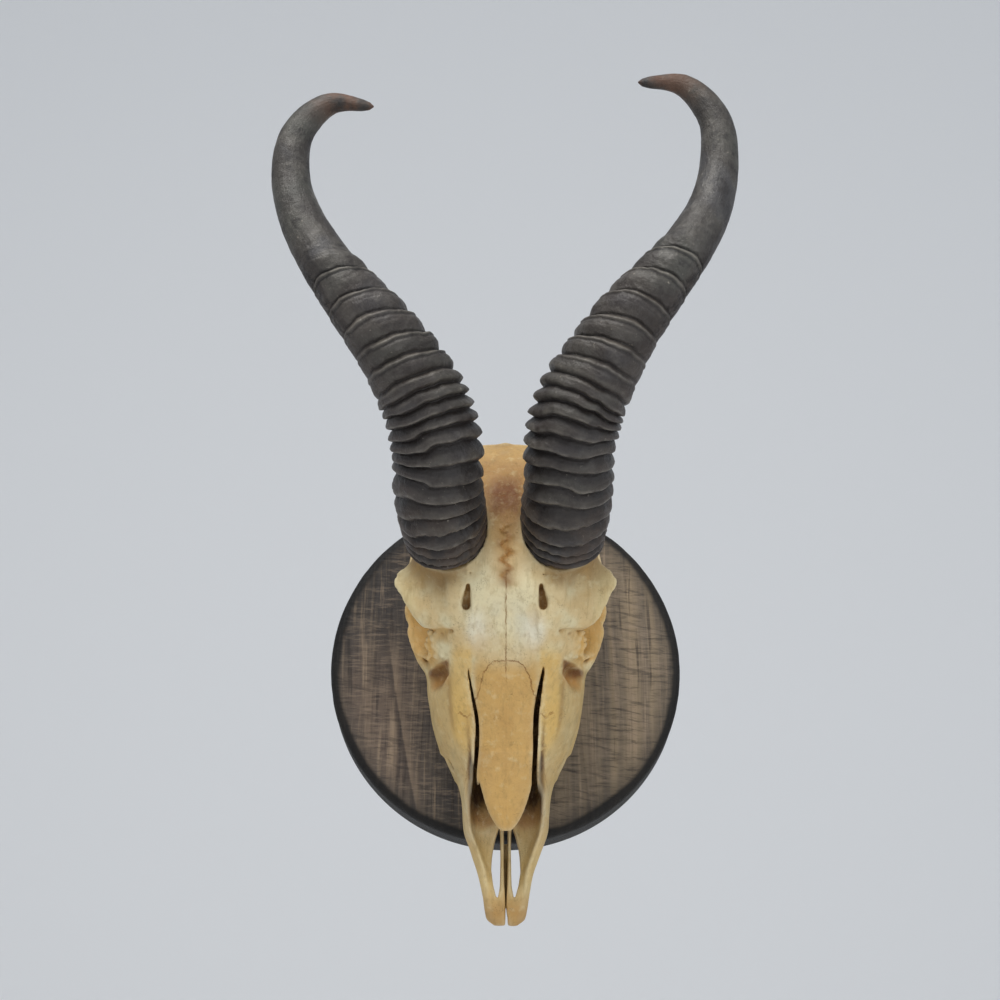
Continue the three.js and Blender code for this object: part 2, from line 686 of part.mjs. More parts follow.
function plaqueSolid() {
  const clearance = 0.5;
  const shankRoom = screwRadius + clearance;
  const headRoom = screwHeadRadius + clearance;
  const coneFoot = -screwHeadSink - (screwHeadRadius - screwRadius);
  const screwHole = turned(
    [[0, -plaqueThickness - 1], [shankRoom, -plaqueThickness - 1], [shankRoom, coneFoot],
      [headRoom, -screwHeadSink], [headRoom, 1], [0, 1]],
    12, 0, 0, screwHeight);
  const nailHoles = bothSides((side) => {
    const radius = nailRadius + touchGap;
    const deep = -nailLength - 1;
    return turned([[0, deep], [radius, deep], [radius, 1], [0, 1]], 6, side * nailSpacing / 2, 0, hangerHeight);
  });
  return plaqueBody().subtract(joined([screwHole, ...nailHoles, ...hangerRecess()]));
}

// Countersunk screw, its head sunk level in the back of the plaque and its point in the skull's base
function screwSolid() {
  const coneFoot = -screwHeadSink - (screwHeadRadius - screwRadius);
  const profile = [
    [0, -screwLength], [screwRadius * 0.5, -screwLength + 3], [screwRadius, -screwLength + 7],
    [screwRadius, coneFoot], [screwHeadRadius, -screwHeadSink], [0, -screwHeadSink],
  ];
  return turned(profile, 12, 0, 0, screwHeight);
}

// Sawtooth hanging plate, toothed along its lower edge
function hangerSolid() {
  const shape = new THREE.Shape();
  const half = hangerLength / 2;
  const high = hangerWidth / 2;
  const toothCount = 7;
  const toothed = 21;
  const toothDepth = 1.8;
  shape.moveTo(half, -high + hangerCorner);
  shape.lineTo(half, high - hangerCorner);
  shape.lineTo(half - hangerCorner, high);
  shape.lineTo(-half + hangerCorner, high);
  shape.lineTo(-half, high - hangerCorner);
  shape.lineTo(-half, -high + hangerCorner);
  shape.lineTo(-half + hangerCorner, -high);
  for (let i = 0; i < toothCount; i += 1) {
    const start = -toothed / 2 + (i * toothed) / toothCount;
    shape.lineTo(start, -high);
    shape.lineTo(start + toothed / toothCount / 2, -high + toothDepth);
  }
  shape.lineTo(toothed / 2, -high);
  shape.lineTo(half - hangerCorner, -high);
  const top = -recessDepth + touchGap + hangerSheet;
  const sheet = plate(shape, top - hangerSheet, top, hangerHeight);
  const holes = bothSides((side) => {
    const radius = nailRadius + touchGap;
    return turned([[0, -4], [radius, -4], [radius, 1], [0, 1]], 8, side * nailSpacing / 2, 0, hangerHeight);
  });
  return sheet.subtract(joined(holes));
}

function nailSolid(side) {
  const headLow = -recessDepth + 2 * touchGap + hangerSheet;
  const headTop = headLow + 0.5;
  const profile = [
    [0, -nailLength], [nailRadius, -nailLength + 1.4], [nailRadius, headLow],
    [nailHeadRadius, headLow], [nailHeadRadius, headTop], [0, headTop + 0.1],
  ];
  return turned(profile, 8, side * nailSpacing / 2, 0, hangerHeight);
}

const group = new THREE.Group();

function addPiece(name, solid, material) {
  const mesh = new THREE.Mesh(geometryOf(solid), material);
  mesh.name = name;
  group.add(mesh);
}

const hornPaths = { right: hornCurve(hornPathRight), left: hornCurve(hornPathLeft) };

addPiece('skull', skullSolid(hornPaths), bone);
addPiece('horn_right', hornSolid(1, hornPaths.right, ringGrowthRight), horn);
addPiece('horn_left', hornSolid(-1, hornPaths.left, ringGrowthLeft), horn);
for (const [name, z, halfLength, halfWidth, x] of cheekTeeth) {
  addPiece(`${name}_right`, toothSolid(1, z, halfLength, halfWidth, x), enamel);
  addPiece(`${name}_left`, toothSolid(-1, z, halfLength, halfWidth, x), enamel);
}
addPiece('plaque', plaqueSolid(), wood);
addPiece('mounting_screw', screwSolid(), steel);
addPiece('hanger', hangerSolid(), steel);
addPiece('hanger_nail_right', nailSolid(1), steel);
addPiece('hanger_nail_left', nailSolid(-1), steel);

export default group;
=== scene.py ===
import math
import bpy
import bmesh
import numpy as np
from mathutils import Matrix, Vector


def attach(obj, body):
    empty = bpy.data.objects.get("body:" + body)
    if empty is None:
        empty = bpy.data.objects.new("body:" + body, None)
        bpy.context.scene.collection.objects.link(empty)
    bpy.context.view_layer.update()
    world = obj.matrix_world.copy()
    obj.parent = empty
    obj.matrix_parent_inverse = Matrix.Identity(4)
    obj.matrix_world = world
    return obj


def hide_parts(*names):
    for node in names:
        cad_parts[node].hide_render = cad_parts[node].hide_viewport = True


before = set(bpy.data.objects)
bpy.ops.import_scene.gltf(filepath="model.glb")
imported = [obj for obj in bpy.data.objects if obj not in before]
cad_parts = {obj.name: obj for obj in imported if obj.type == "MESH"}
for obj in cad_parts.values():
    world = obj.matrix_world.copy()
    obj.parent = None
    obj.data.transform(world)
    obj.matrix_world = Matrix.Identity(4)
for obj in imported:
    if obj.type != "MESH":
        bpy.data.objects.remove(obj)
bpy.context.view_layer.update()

# Sizes in millimetres. A place on the skull is x sideways, h above the plaque's face and z up.
MM = 0.001
PLAQUE_THICKNESS = 22.0
PLAQUE_RADIUS = 82.5
GRID_STEP = 0.74
SKULL_TRIANGLES = 192000
HORN_RADIUS = 18.2
TOOTH_ROOM_TOP = 12.9
HANGER_HEIGHT = 63.0
NAIL_SPACING = 34.0
SCREW_HEIGHT = 38.0
# Gap between a horn and its seat, and the distance to bone where there is none yet
SEAT_ROOM = 0.3
FAR_AWAY = 60
SIDES = ((1, "right"), (-1, "left"))

rng = np.random.default_rng(11)
# The corners of a grid cell
CORNERS = [(i, j, k) for i in (0, 1) for j in (0, 1) for k in (0, 1)]


# Values between the eight grid points round each place, from the places' cells and how far into
# its cell each place lies
def between(grid, first, part, wrap=None):
    total = 0.0
    for corner in CORNERS:
        share = 1.0
        for axis in range(3):
            share = share * (part[:, axis] if corner[axis] else 1 - part[:, axis])
        index = first + corner
        if wrap:
            index = index % wrap
        total = total + share * grid[index[:, 0], index[:, 1], index[:, 2]]
    return total


# Noise that any point can be looked up in, between -1 and 1
class Noise:
    def __init__(self, size=32):
        self.size = size
        self.cells = rng.uniform(-1, 1, (size, size, size)).astype(np.float32)

    def __call__(self, points, scale):
        place = np.asarray(points, np.float64) / scale
        low = np.floor(place).astype(int)
        part = place - low
        return between(self.cells, low, part * part * (3 - 2 * part), wrap=self.size)

    def layered(self, points, scale, layers=3):
        points = np.asarray(points, np.float64)
        total = 0.0
        for i in range(layers):
            total = total + self(points + 17.3 * i, scale / 2 ** i) / 2 ** i
        return total


noise = Noise()


# From 0 to 1 as a value goes from low to high, with soft ends, and the other way round
def rise(low, high, value):
    t = np.clip((value - low) / (high - low), 0, 1)
    return t * t * (3 - 2 * t)


def fall(low, high, value):
    return 1 - rise(low, high, value)


def bump_at(value, middle, width):
    return np.exp(-((value - middle) / width) ** 2)


# Points along a smooth curve through the given ones, spaced evenly from point to point
def through(points, shares, closed=False):
    p = np.asarray(points, float)
    n = len(p)
    if closed:
        table = np.vstack([p[-1], p, p[0], p[1]])
        spans = n
    else:
        table = np.vstack([2 * p[0] - p[1], p, 2 * p[-1] - p[-2]])
        spans = n - 1
    place = np.clip(np.asarray(shares, float), 0, 1) * spans
    first = np.minimum(place.astype(int), spans - 1)
    t = (place - first)[:, None]
    q0, q1, q2, q3 = (table[first + k] for k in range(4))
    gaps = [np.maximum(np.linalg.norm(b - a, axis=1, keepdims=True), 1e-6) ** 0.5
            for a, b in ((q0, q1), (q1, q2), (q2, q3))]
    m1 = ((q1 - q0) / gaps[0] - (q2 - q0) / (gaps[0] + gaps[1]) + (q2 - q1) / gaps[1]) * gaps[1]
    m2 = ((q2 - q1) / gaps[1] - (q3 - q1) / (gaps[1] + gaps[2]) + (q3 - q2) / gaps[2]) * gaps[1]
    return q1 + m1 * t + (-3 * q1 + 3 * q2 - 2 * m1 - m2) * t ** 2 + (2 * q1 - 2 * q2 + m1 + m2) * t ** 3


# Values at new stops, smooth and never past the given ones
def eased(stops, values, at):
    stops = np.asarray(stops, float)
    values = np.asarray(values, float)
    steps = np.diff(stops)[:, None]
    grade = np.diff(values, axis=0) / steps
    slope = np.zeros_like(values)
    inner = grade[:-1] * grade[1:]
    slope[1:-1] = np.where(inner > 0, 2 * inner / np.where(inner > 0, grade[:-1] + grade[1:], 1), 0)
    slope[0], slope[-1] = grade[0], grade[-1]
    k = np.clip(np.searchsorted(stops, at, side="right") - 1, 0, len(stops) - 2)
    w = steps[k]
    t = np.clip((at - stops[k])[:, None] / w, 0, 1)
    return (2 * t ** 3 - 3 * t ** 2 + 1) * values[k] + (t ** 3 - 2 * t ** 2 + t) * w * slope[k] \
        + (3 * t ** 2 - 2 * t ** 3) * values[k + 1] + (t ** 3 - t ** 2) * w * slope[k + 1]


def smooth_min(a, b, reach):
    share = np.clip(0.5 + 0.5 * (b - a) / reach, 0, 1)
    return b + (a - b) * share - reach * share * (1 - share)


# Distances to the bone's surface at every point of a grid, negative inside the bone
class Field:
    def __init__(self, low, high, step):
        self.step = step
        half = int(math.ceil(high[0] / step))
        self.axes = [np.arange(-half, half + 1, dtype=np.float32) * step,
                     np.arange(low[1], high[1] + step, step, dtype=np.float32),
                     np.arange(low[2], high[2] + step, step, dtype=np.float32)]
        self.value = np.full([len(a) for a in self.axes], FAR_AWAY, np.float32)

    def low(self):
        return np.array([a[0] for a in self.axes])

    # The part of the grid between two corners, with its x, h and z
    def part(self, low, high):
        cut = tuple(slice(max(0, int(np.searchsorted(a, lo)) - 1), int(np.searchsorted(a, hi)) + 1)
                    for a, lo, hi in zip(self.axes, low, high))
        x, h, z = (a[c] for a, c in zip(self.axes, cut))
        return cut, x[:, None, None], h[None, :, None], z[None, None, :]

    def change(self, form, reach, sign, both):
        for low, high, distance in (form, mirrored(form)) if both else (form,):
            margin = reach + 2
            block, x, h, z = self.part([v - margin for v in low], [v + margin for v in high])
            self.value[block] = sign * smooth_min(sign * self.value[block], distance(x, h, z), reach)

    # Joins a form on, softly over its reach, as it is and mirrored
    def add(self, form, reach, both=True):
        self.change(form, reach, 1, both)

    def cut(self, form, reach, both=True):
        self.change(form, reach, -1, both)


# A form is a low corner, a high corner and a function for the distance to its surface
def egg(middle, size):
    def distance(x, h, z):
        parts = [(a - m) for a, m in zip((x, h, z), middle)]
        near = np.sqrt(sum((p / s) ** 2 for p, s in zip(parts, size)))
        steep = np.sqrt(sum((p / s ** 2) ** 2 for p, s in zip(parts, size)))
        return near * (near - 1) / np.maximum(steep, 1e-4)
    low = [m - s for m, s in zip(middle, size)]
    high = [m + s for m, s in zip(middle, size)]
    return low, high, distance


def mirrored(form):
    low, high, distance = form
    return [-high[0], low[1], low[2]], [-low[0], high[1], high[2]], lambda x, h, z: distance(-x, h, z)


# Places measured from a straight piece between two points: the share of its length, how far past its
# ends, and how far out along the side direction and across it
def beside(x, h, z, a, b, side):
    length = np.linalg.norm(b - a)
    along = (b - a) / length
    rel = (x - a[0], h - a[1], z - a[2])
    place, u, v = (rel[0] * way[0] + rel[1] * way[1] + rel[2] * way[2]
                   for way in (along, side, np.cross(along, side)))
    share = np.clip(place / length, 0, 1)
    return share, place - share * length, u, v


# A bar of oval section through points. Each size is the half width along the side direction and
# the half depth across it. A flat end is cut square, any other is round.
def bar(points, sizes, side=(1, 0, 0), count=10, flat=False):
    shares = np.linspace(0, 1, count)
    line = through(points, shares)
    widths = eased(np.linspace(0, 1, len(sizes)), sizes, shares)

    def distance(x, h, z):
        best = None
        for a, b, wa, wb in zip(line[:-1], line[1:], widths[:-1], widths[1:]):
            along = (b - a) / np.linalg.norm(b - a)
            s = np.asarray(side, float) - along * np.dot(side, along)
            t, over, u, v = beside(x, h, z, a, b, s / np.linalg.norm(s))
            width, depth = wa[0] + (wb[0] - wa[0]) * t, wa[1] + (wb[1] - wa[1]) * t
            u, v, least = u / width, v / depth, np.minimum(width, depth)
            if flat:
                d = (np.sqrt(u * u + v * v) - 1) * least
                d = np.where(over == 0, d, np.maximum(d, np.abs(over)))
            else:
                d = (np.sqrt(u * u + v * v + (over / least) ** 2) - 1) * least
            best = d if best is None else np.minimum(best, d)
        return best
    reach = widths.max()
    return list(line.min(0) - reach), list(line.max(0) + reach), distance


# Signed distance in a plane to an outline, negative inside. The half outline of a symmetric form
# runs from its middle line round to its middle line.
def outline_distance(a, b, outline, closed):
    ends = np.roll(outline, -1, 0) if closed else outline[1:]
    nearest = np.full(np.broadcast(a, b).shape, 1e9, np.float32)
    inside = np.zeros(nearest.shape, bool)
    for (pa, pb), (qa, qb) in zip(outline, ends):
        ea, eb = qa - pa, qb - pb
        size = ea * ea + eb * eb
        if size < 1e-9:
            continue
        wa, wb = a - pa, b - pb
        t = np.clip((wa * ea + wb * eb) / size, 0, 1)
        nearest = np.minimum(nearest, (wa - ea * t) ** 2 + (wb - eb * t) ** 2)
        if abs(eb) > 1e-9:
            passed = ((pb <= b) & (qb > b)) | ((qb <= b) & (pb > b))
            inside ^= passed & (a < pa + ea * (b - pb) / eb)
    return np.where(inside, -1, 1) * np.sqrt(nearest)


# A form symmetric about x = 0, through half sections along z
def body_form(sections, samples=8):
    stops = [row[0] for row in sections]
    table = np.array([[c for point in row[1:] for c in point] for row in sections], float)

    def distance(x, h, z):
        zs = z.ravel()
        rows = eased(stops, table, np.clip(zs, stops[0], stops[-1]))
        xs = np.abs(x.ravel())
        right = np.unique(np.round(xs, 4)).astype(np.float32)
        lookup = np.searchsorted(right, np.round(xs, 4).astype(np.float32) - 1e-3)
        out = np.empty((len(xs), h.size, len(zs)), np.float32)
        for k, row in enumerate(rows):
            half = row.reshape(-1, 2)
            left = half[1:-1][::-1] * (-1, 1)
            ring = np.vstack([half, left])
            count = (len(half) - 1) * samples
            shares = np.arange(count + 1) / (len(ring) * samples)
            line = through(ring, shares, closed=True)
            line[:, 0] = np.maximum(line[:, 0], 0)
            line[0, 0] = line[-1, 0] = -0.01
            d = outline_distance(right[:, None], h.reshape(1, -1), line, closed=False)
            out[:, :, k] = d[lookup]
        ends = np.maximum(stops[0] - z, z - stops[-1])
        return np.maximum(out, ends)
    wide = table[:, 0::2].max()
    return [-wide, table[:, 1::2].min(), stops[0]], [wide, table[:, 1::2].max(), stops[-1]], distance


# A form on the right side through closed sections. Sections along x list z and h pairs, sections
# along z list x and h pairs.
def lofted_form(stops, sections, along_x, samples=6):
    table = np.array([[c for point in row for c in point] for row in sections], float)

    def distance(x, h, z):
        along, across = (x, z) if along_x else (z, x)
        layers = []
        for row in eased(stops, table, np.clip(along.ravel(), stops[0], stops[-1])):
            ring = row.reshape(-1, 2)
            line = through(ring, np.arange(len(ring) * samples) / (len(ring) * samples), closed=True)
            layer = outline_distance(across.reshape(-1, 1), h.reshape(1, -1), line, closed=True)
            layers.append((layer.T if along_x else layer).astype(np.float32))
        ends = np.maximum(stops[0] - along, along - stops[-1])
        return np.maximum(np.stack(layers, 0 if along_x else 2), ends)
    lengthwise = (stops[0], stops[-1])
    sideways = (table[:, 0::2].min(), table[:, 0::2].max())
    upward = (table[:, 1::2].min(), table[:, 1::2].max())
    spans = (lengthwise, upward, sideways) if along_x else (sideways, upward, lengthwise)
    return [s[0] for s in spans], [s[1] for s in spans], distance


# The surface where the field passes through zero, as points and four-sided faces
def surface_of(field):
    value = field.value
    inside = value < 0
    count = np.zeros([s - 1 for s in value.shape], np.int8)
    nx, nh, nz = count.shape
    for i, j, k in CORNERS:
        count += inside[i:i + nx, j:j + nh, k:k + nz]
    active = (count > 0) & (count < 8)
    cells = np.argwhere(active)
    index = np.full(active.shape, -1, np.int32)
    index[active] = np.arange(len(cells))
    at = {c: value[cells[:, 0] + c[0], cells[:, 1] + c[1], cells[:, 2] + c[2]] for c in CORNERS}
    total = np.zeros((len(cells), 3))
    hits = np.zeros(len(cells))
    for a in CORNERS:
        for axis in range(3):
            if a[axis]:
                continue
            b = tuple(v + (m == axis) for m, v in enumerate(a))
            crossed = (at[a] < 0) != (at[b] < 0)
            gap = np.where(crossed, at[a] - at[b], 1)
            place = np.tile(np.array(a, float), (len(cells), 1))
            place[:, axis] += at[a] / gap
            total += np.where(crossed[:, None], place, 0)
            hits += crossed
    points = cells + total / hits[:, None]
    faces = []
    for axis in range(3):
        u, v = (axis + 1) % 3, (axis + 2) % 3
        near = [slice(None)] * 3
        far = [slice(None)] * 3
        near[axis], far[axis] = slice(None, -1), slice(1, None)
        a, b = inside[tuple(near)], inside[tuple(far)]
        found = np.argwhere(a != b)
        found = found[(found[:, u] > 0) & (found[:, v] > 0)
                      & (found[:, u] < index.shape[u]) & (found[:, v] < index.shape[v])]
        inward = a[tuple(found.T)]
        ring = []
        for du, dv in ((-1, -1), (0, -1), (0, 0), (-1, 0)):
            cell = found.copy()
            cell[:, u] += du
            cell[:, v] += dv
            ring.append(index[tuple(cell.T)])
        quad = np.stack(ring, 1)
        quad[~inward] = quad[~inward][:, ::-1]
        faces.append(quad)
    faces = np.vstack(faces)
    return points * field.step + field.low(), faces


# Smooths steps out of a mesh without shrinking it
def relaxed(points, faces, rounds):
    edges = np.vstack([faces[:, [k, (k + 1) % faces.shape[1]]] for k in range(faces.shape[1])])
    n = len(points)
    degree = np.bincount(edges[:, 0], minlength=n) + np.bincount(edges[:, 1], minlength=n)
    for _ in range(rounds):
        for amount in (0.5, -0.52):
            mean = np.empty_like(points)
            for c in range(3):
                mean[:, c] = (np.bincount(edges[:, 0], points[edges[:, 1], c], n)
                              + np.bincount(edges[:, 1], points[edges[:, 0], c], n)) / degree
            points = points + amount * (mean - points)
    return points


# Value of a field's grid at any point
def looked_up(field, grid, points):
    place = (points - field.low()) / field.step
    first = np.clip(np.floor(place).astype(int), 0, np.array(grid.shape) - 2)
    return between(grid, first, place - first)


# Mean of a grid over a small block round each point
def blurred(grid, half):
    out = grid.astype(np.float32)
    for axis in range(3):
        pad = [(0, 0)] * 3
        pad[axis] = (half + 1, half)
        run = np.cumsum(np.pad(out, pad, mode="edge"), axis=axis, dtype=np.float64)
        size = 2 * half + 1
        front = [slice(None)] * 3
        back = [slice(None)] * 3
        front[axis], back[axis] = slice(size, None), slice(None, -size)
        out = ((run[tuple(front)] - run[tuple(back)]) / size).astype(np.float32)
    return out


# Angles round a circle
def circle(count):
    return np.arange(count) * 2 * math.pi / count


# From x, h and z in millimetres to places in the frame
def to_metres(points):
    out = np.array(points, float)
    out[:, 1] = -(PLAQUE_THICKNESS + out[:, 1])
    return out * MM


def mesh_from(name, points, faces):
    mesh = bpy.data.meshes.new(name)
    points = np.asarray(points, np.float32)
    faces = [np.asarray(f, np.int32) for f in faces]
    sizes = np.concatenate([np.full(len(f), f.shape[1], np.int32) for f in faces])
    loops = np.concatenate([f.ravel() for f in faces])
    mesh.vertices.add(len(points))
    mesh.vertices.foreach_set("co", points.ravel())
    mesh.loops.add(len(loops))
    mesh.loops.foreach_set("vertex_index", loops)
    mesh.polygons.add(len(sizes))
    mesh.polygons.foreach_set("loop_start", np.concatenate([[0], np.cumsum(sizes)[:-1]]).astype(np.int32))
    mesh.update(calc_edges=True)
    mesh.validate()
    mesh.shade_smooth()
    return mesh


def new_object(name, mesh):
    obj = bpy.data.objects.new(name, mesh)
    bpy.context.scene.collection.objects.link(obj)
    return obj


# An object's mesh with its modifiers carried out
def carried_out(obj):
    graph = bpy.context.evaluated_depsgraph_get()
    return bpy.data.meshes.new_from_object(obj.evaluated_get(graph))


def turn_outward(mesh):
    shape = bmesh.new()
    shape.from_mesh(mesh)
    bmesh.ops.recalc_face_normals(shape, faces=shape.faces[:])
    shape.to_mesh(mesh)
    shape.free()


def set_point_data(mesh, name, values):
    values = np.asarray(values, np.float32)
    kinds = {1: ("FLOAT", "value"), 3: ("FLOAT_VECTOR", "vector"), 4: ("FLOAT_COLOR", "color")}
    kind, key = kinds[values.size // len(values)]
    mesh.attributes.new(name, kind, "POINT").data.foreach_set(key, values.ravel())


# Places ("co") or normals ("normal") of a mesh's points
def read_points(mesh, kind="co"):
    out = np.empty(len(mesh.vertices) * 3, np.float32)
    mesh.vertices.foreach_get(kind, out)
    return out.reshape(-1, 3).astype(float)


def move_points(mesh, points):
    mesh.vertices.foreach_set("co", points.astype(np.float32).ravel())
    mesh.update()


# Faces of a tube of closed rings of points, whose ends are closed by the two points that follow
def tube_faces(rows, around):
    index = np.arange(rows * around).reshape(rows, around)
    a, b = index[:-1], index[1:]
    quads = np.stack([a, np.roll(a, -1, 1), np.roll(b, -1, 1), b], -1).reshape(-1, 4)
    count = rows * around
    caps = [np.stack([index[0], np.full(around, count), np.roll(index[0], -1)], 1),
            np.stack([np.roll(index[-1], -1), np.full(around, count + 1), index[-1]], 1)]
    return [quads, np.vstack(caps)]


def finish_piece(obj, material, slot, *nodes):
    obj.data.materials.clear()
    obj.data.materials.append(material)
    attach(obj, "root")
    if nodes:
        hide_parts(*nodes)
    return obj


# The skull. Sections of its long body, nose to nape: z, then the right half of the outline from
# the top of the middle line round to the underside.
BODY = [
    (-121.5, (0, 14), (1.8, 14.8), (3.8, 14.4), (5, 13.2), (5, 11.8), (3.6, 10.6), (0, 11.4)),
    (-118.6, (0, 15.8), (3, 16.8), (6.4, 16.2), (8.4, 14.4), (8.5, 12), (6.2, 9.4), (0, 10)),
    (-109, (0, 17), (4.4, 18.6), (8.2, 19.4), (10, 17), (10.2, 13), (8.2, 9), (0, 9.6)),
    (-99, (0, 16.5), (6.6, 18), (9.6, 23), (12, 20), (12.6, 14.5), (9.8, 9.4), (0, 10)),
    (-90, (0, 17), (9, 19.5), (12.7, 27.5), (14.9, 23), (15.6, 15.5), (12, 10), (0, 11)),
    (-80, (0, 18), (12.2, 23), (16, 35.5), (18, 29), (18.9, 18.5), (14, 11), (0, 12)),
    (-70, (0, 22), (12.8, 31), (16.4, 45), (18.8, 36.5), (19.6, 23), (16, 12), (0, 13.5)),
    (-61, (0, 54.5), (7.5, 54), (13.8, 50.5), (18.5, 41), (21.5, 26), (18, 12.5), (0, 15)),
    (-50, (0, 59.5), (7, 59), (13.5, 56), (22.5, 46), (27, 30), (22.5, 12.5), (0, 16)),
    (-40, (0, 63.5), (7, 63), (14, 59.8), (25.5, 50), (31, 34), (27, 13), (0, 16.5)),
    (-30, (0, 67.5), (8, 67), (15.5, 63.8), (27.5, 54), (33.3, 38), (29.5, 13.5), (0, 17)),
    (-18, (0, 72.5), (10, 72.2), (18, 69), (27.5, 59), (34.8, 43), (31, 14), (0, 17.5)),
    (-8, (0, 77), (12, 77), (22, 74.6), (29, 65), (34.5, 45), (30, 16), (0, 18)),
    (4, (0, 82), (13, 82.5), (25, 80.5), (24, 68), (19, 50), (21, 21), (0, 18.5)),
    (16, (0, 87), (13, 88), (26, 86), (23, 71), (17, 50), (17, 23), (0, 19)),
    (28, (0, 89), (12, 88.4), (27, 85), (26, 70), (20, 50), (15, 24), (0, 20)),
    (40, (0, 88.4), (11, 86.4), (25, 78), (29, 63), (26, 45), (15, 25), (0, 21)),
    (52, (0, 86.4), (13, 84), (24, 75), (31, 59), (28.5, 42), (16, 24), (0, 21)),
    (64, (0, 82), (14, 79.6), (24, 71.6), (31.5, 56.5), (30, 40), (17, 23), (0, 20)),
    (76, (0, 75.6), (13, 73.4), (23, 65.4), (29.5, 52), (29, 38), (16, 22), (0, 20)),
    (86, (0, 66.4), (12, 64.2), (21, 57.6), (27, 46), (25, 34), (12, 24), (0, 22)),
    (92, (0, 54), (9, 52.5), (16, 48), (20, 41), (17, 33), (9, 26), (0, 25)),
]

# The nasal bones where they overhang the nose opening, tip to root
NASAL_TIP = [
    (-84.6, (0, 46), (1.4, 45.8), (2.4, 45), (1.8, 44.2), (0, 44.2)),
    (-82, (0, 47.2), (2.8, 46.8), (4.6, 45.4), (3.8, 44.2), (0, 44.6)),
    (-78, (0, 49), (4.4, 48.4), (7, 46.6), (6, 45), (0, 46)),
    (-70, (0, 52), (6.4, 51), (10, 48.6), (9, 47), (0, 48.8)),
    (-61, (0, 55.6), (8, 54.4), (11.9, 51.4), (10.8, 49.8), (0, 51.8)),
    (-52, (0, 59.4), (7.5, 58.4), (11.6, 56.4), (10.4, 54), (0, 56)),
]

# The hollow of the nose, open in front below the nasal bones
NOSE_HOLLOW = [
    (-75, (0, 47.4), (7.6, 46.8), (13.6, 42), (14.4, 34), (10.6, 26.4), (0, 22.4)),
    (-61, (0, 51.6), (7.6, 50.6), (13, 46), (16.4, 35), (13, 25), (0, 22)),
    (-46, (0, 57.6), (7, 56.8), (12.6, 52.6), (19, 38), (17, 25), (0, 21)),
    (-28, (0, 64.6), (7, 64), (13.6, 60), (20, 44), (18, 27), (0, 22)),
    (-12, (0, 66), (5, 65.6), (9, 62), (11, 50), (8, 34), (0, 28)),
]

# The brow shelf over each eye, middle of the forehead to the corner: x, front and back edges in z,
# top height and thickness
BROW = [
    (14, -7, 44, 84, 16),
    (24, -3, 42, 82, 15),
    (31, -1.2, 38, 79, 11),
    (36, 0.6, 34, 76.5, 8),
    (41, 5.8, 31, 74.6, 6.2),
    (45.4, 14, 27.5, 73, 4.6),
    (48.6, 19.6, 22.4, 71.6, 2.6),
]

# The rim of each eye socket as x, h and z, once round, and the point that it is centred on
EYE_RIM = [
    (46.8, 69.4, 20.6), (46, 60, 26), (45.4, 49.6, 24.6), (45.4, 42, 14.6), (43.6, 41.2, 3.6),
    (39.6, 45, -5), (34.6, 54, -8.2), (33.2, 63.6, -4.6), (36, 70, 1.4), (41.8, 71, 9.2),
]
EYE_MIDDLE = (56, 9)

# Middle line of each horn, base to tip, as x, h and z
HORN_RIGHT = [
    (25, 79, 40), (27, 103, 53), (27.5, 121.5, 67.5), (32, 135, 82.5), (41.5, 144, 97), (52, 150, 112.5),
    (64.5, 152.5, 128), (76.5, 152.5, 144.5), (87, 151.5, 164), (92, 150, 186), (90.5, 150.5, 208),
    (77.5, 152.5, 223), (57.5, 156.5, 222.5),
]
HORN_LEFT = [
    (-26, 79, 40), (-29.5, 102, 52), (-29.5, 120, 66), (-34, 133, 81), (-43, 142, 95), (-54, 148, 109.5),
    (-66, 150, 124.5), (-77.5, 150.5, 141), (-87.5, 149.5, 160), (-93, 148, 181), (-90.5, 148.5, 202),
    (-77, 150.5, 215), (-57.5, 154, 212),
]
HORNS = ((HORN_RIGHT, 1), (HORN_LEFT, -1))

# Thickness of the horn: share of its length, share of the radius at its base
HORN_TAPER = [
    (0, 0.98), (0.08, 0.97), (0.2, 0.99), (0.29, 0.95), (0.37, 0.84), (0.45, 0.75), (0.53, 0.64),
    (0.62, 0.57), (0.7, 0.49), (0.79, 0.43), (0.87, 0.34), (0.92, 0.255), (0.956, 0.18), (0.98, 0.14),
    (0.993, 0.09), (1, 0.02),
]


def horn_radius(t):
    return HORN_RADIUS * np.interp(t, [a for a, _ in HORN_TAPER], [b for _, b in HORN_TAPER])


# The horn is a little deeper than it is wide near its base
def horn_depth(t):
    return np.interp(t, [0, 0.5], [1.14, 1.02])


# Middle points of a horn and, carried along it, its direction, the outward one and the front one
def horn_frames(path, side, shares):
    middle = through(path, shares)
    near = through(path, np.clip(shares - 1e-4, 0, 1))
    far = through(path, np.clip(shares + 1e-4, 0, 1))
    forward = far - near
    forward /= np.linalg.norm(forward, axis=1, keepdims=True)
    out = np.empty_like(forward)
    held = np.array([side, 0, 0], float)
    for i, f in enumerate(forward):
        held = held - f * np.dot(held, f)
        held /= np.linalg.norm(held)
        out[i] = held
    front = np.cross(forward, out) * side
    return middle, forward, out, front


# The eye's rim as directions from its middle, distances and x, for more than once round
def eye_tables():
    rim = through(EYE_RIM, np.arange(240) / 240, closed=True)
    angle = np.arctan2(rim[:, 1] - EYE_MIDDLE[0], rim[:, 2] - EYE_MIDDLE[1])
    order = np.argsort(angle)
    angle, rim = angle[order], rim[order]
    reach = np.hypot(rim[:, 1] - EYE_MIDDLE[0], rim[:, 2] - EYE_MIDDLE[1])
    angle = np.concatenate([angle - 2 * math.pi, angle, angle + 2 * math.pi])
    return angle, np.tile(reach, 3), np.tile(rim[:, 0], 3)


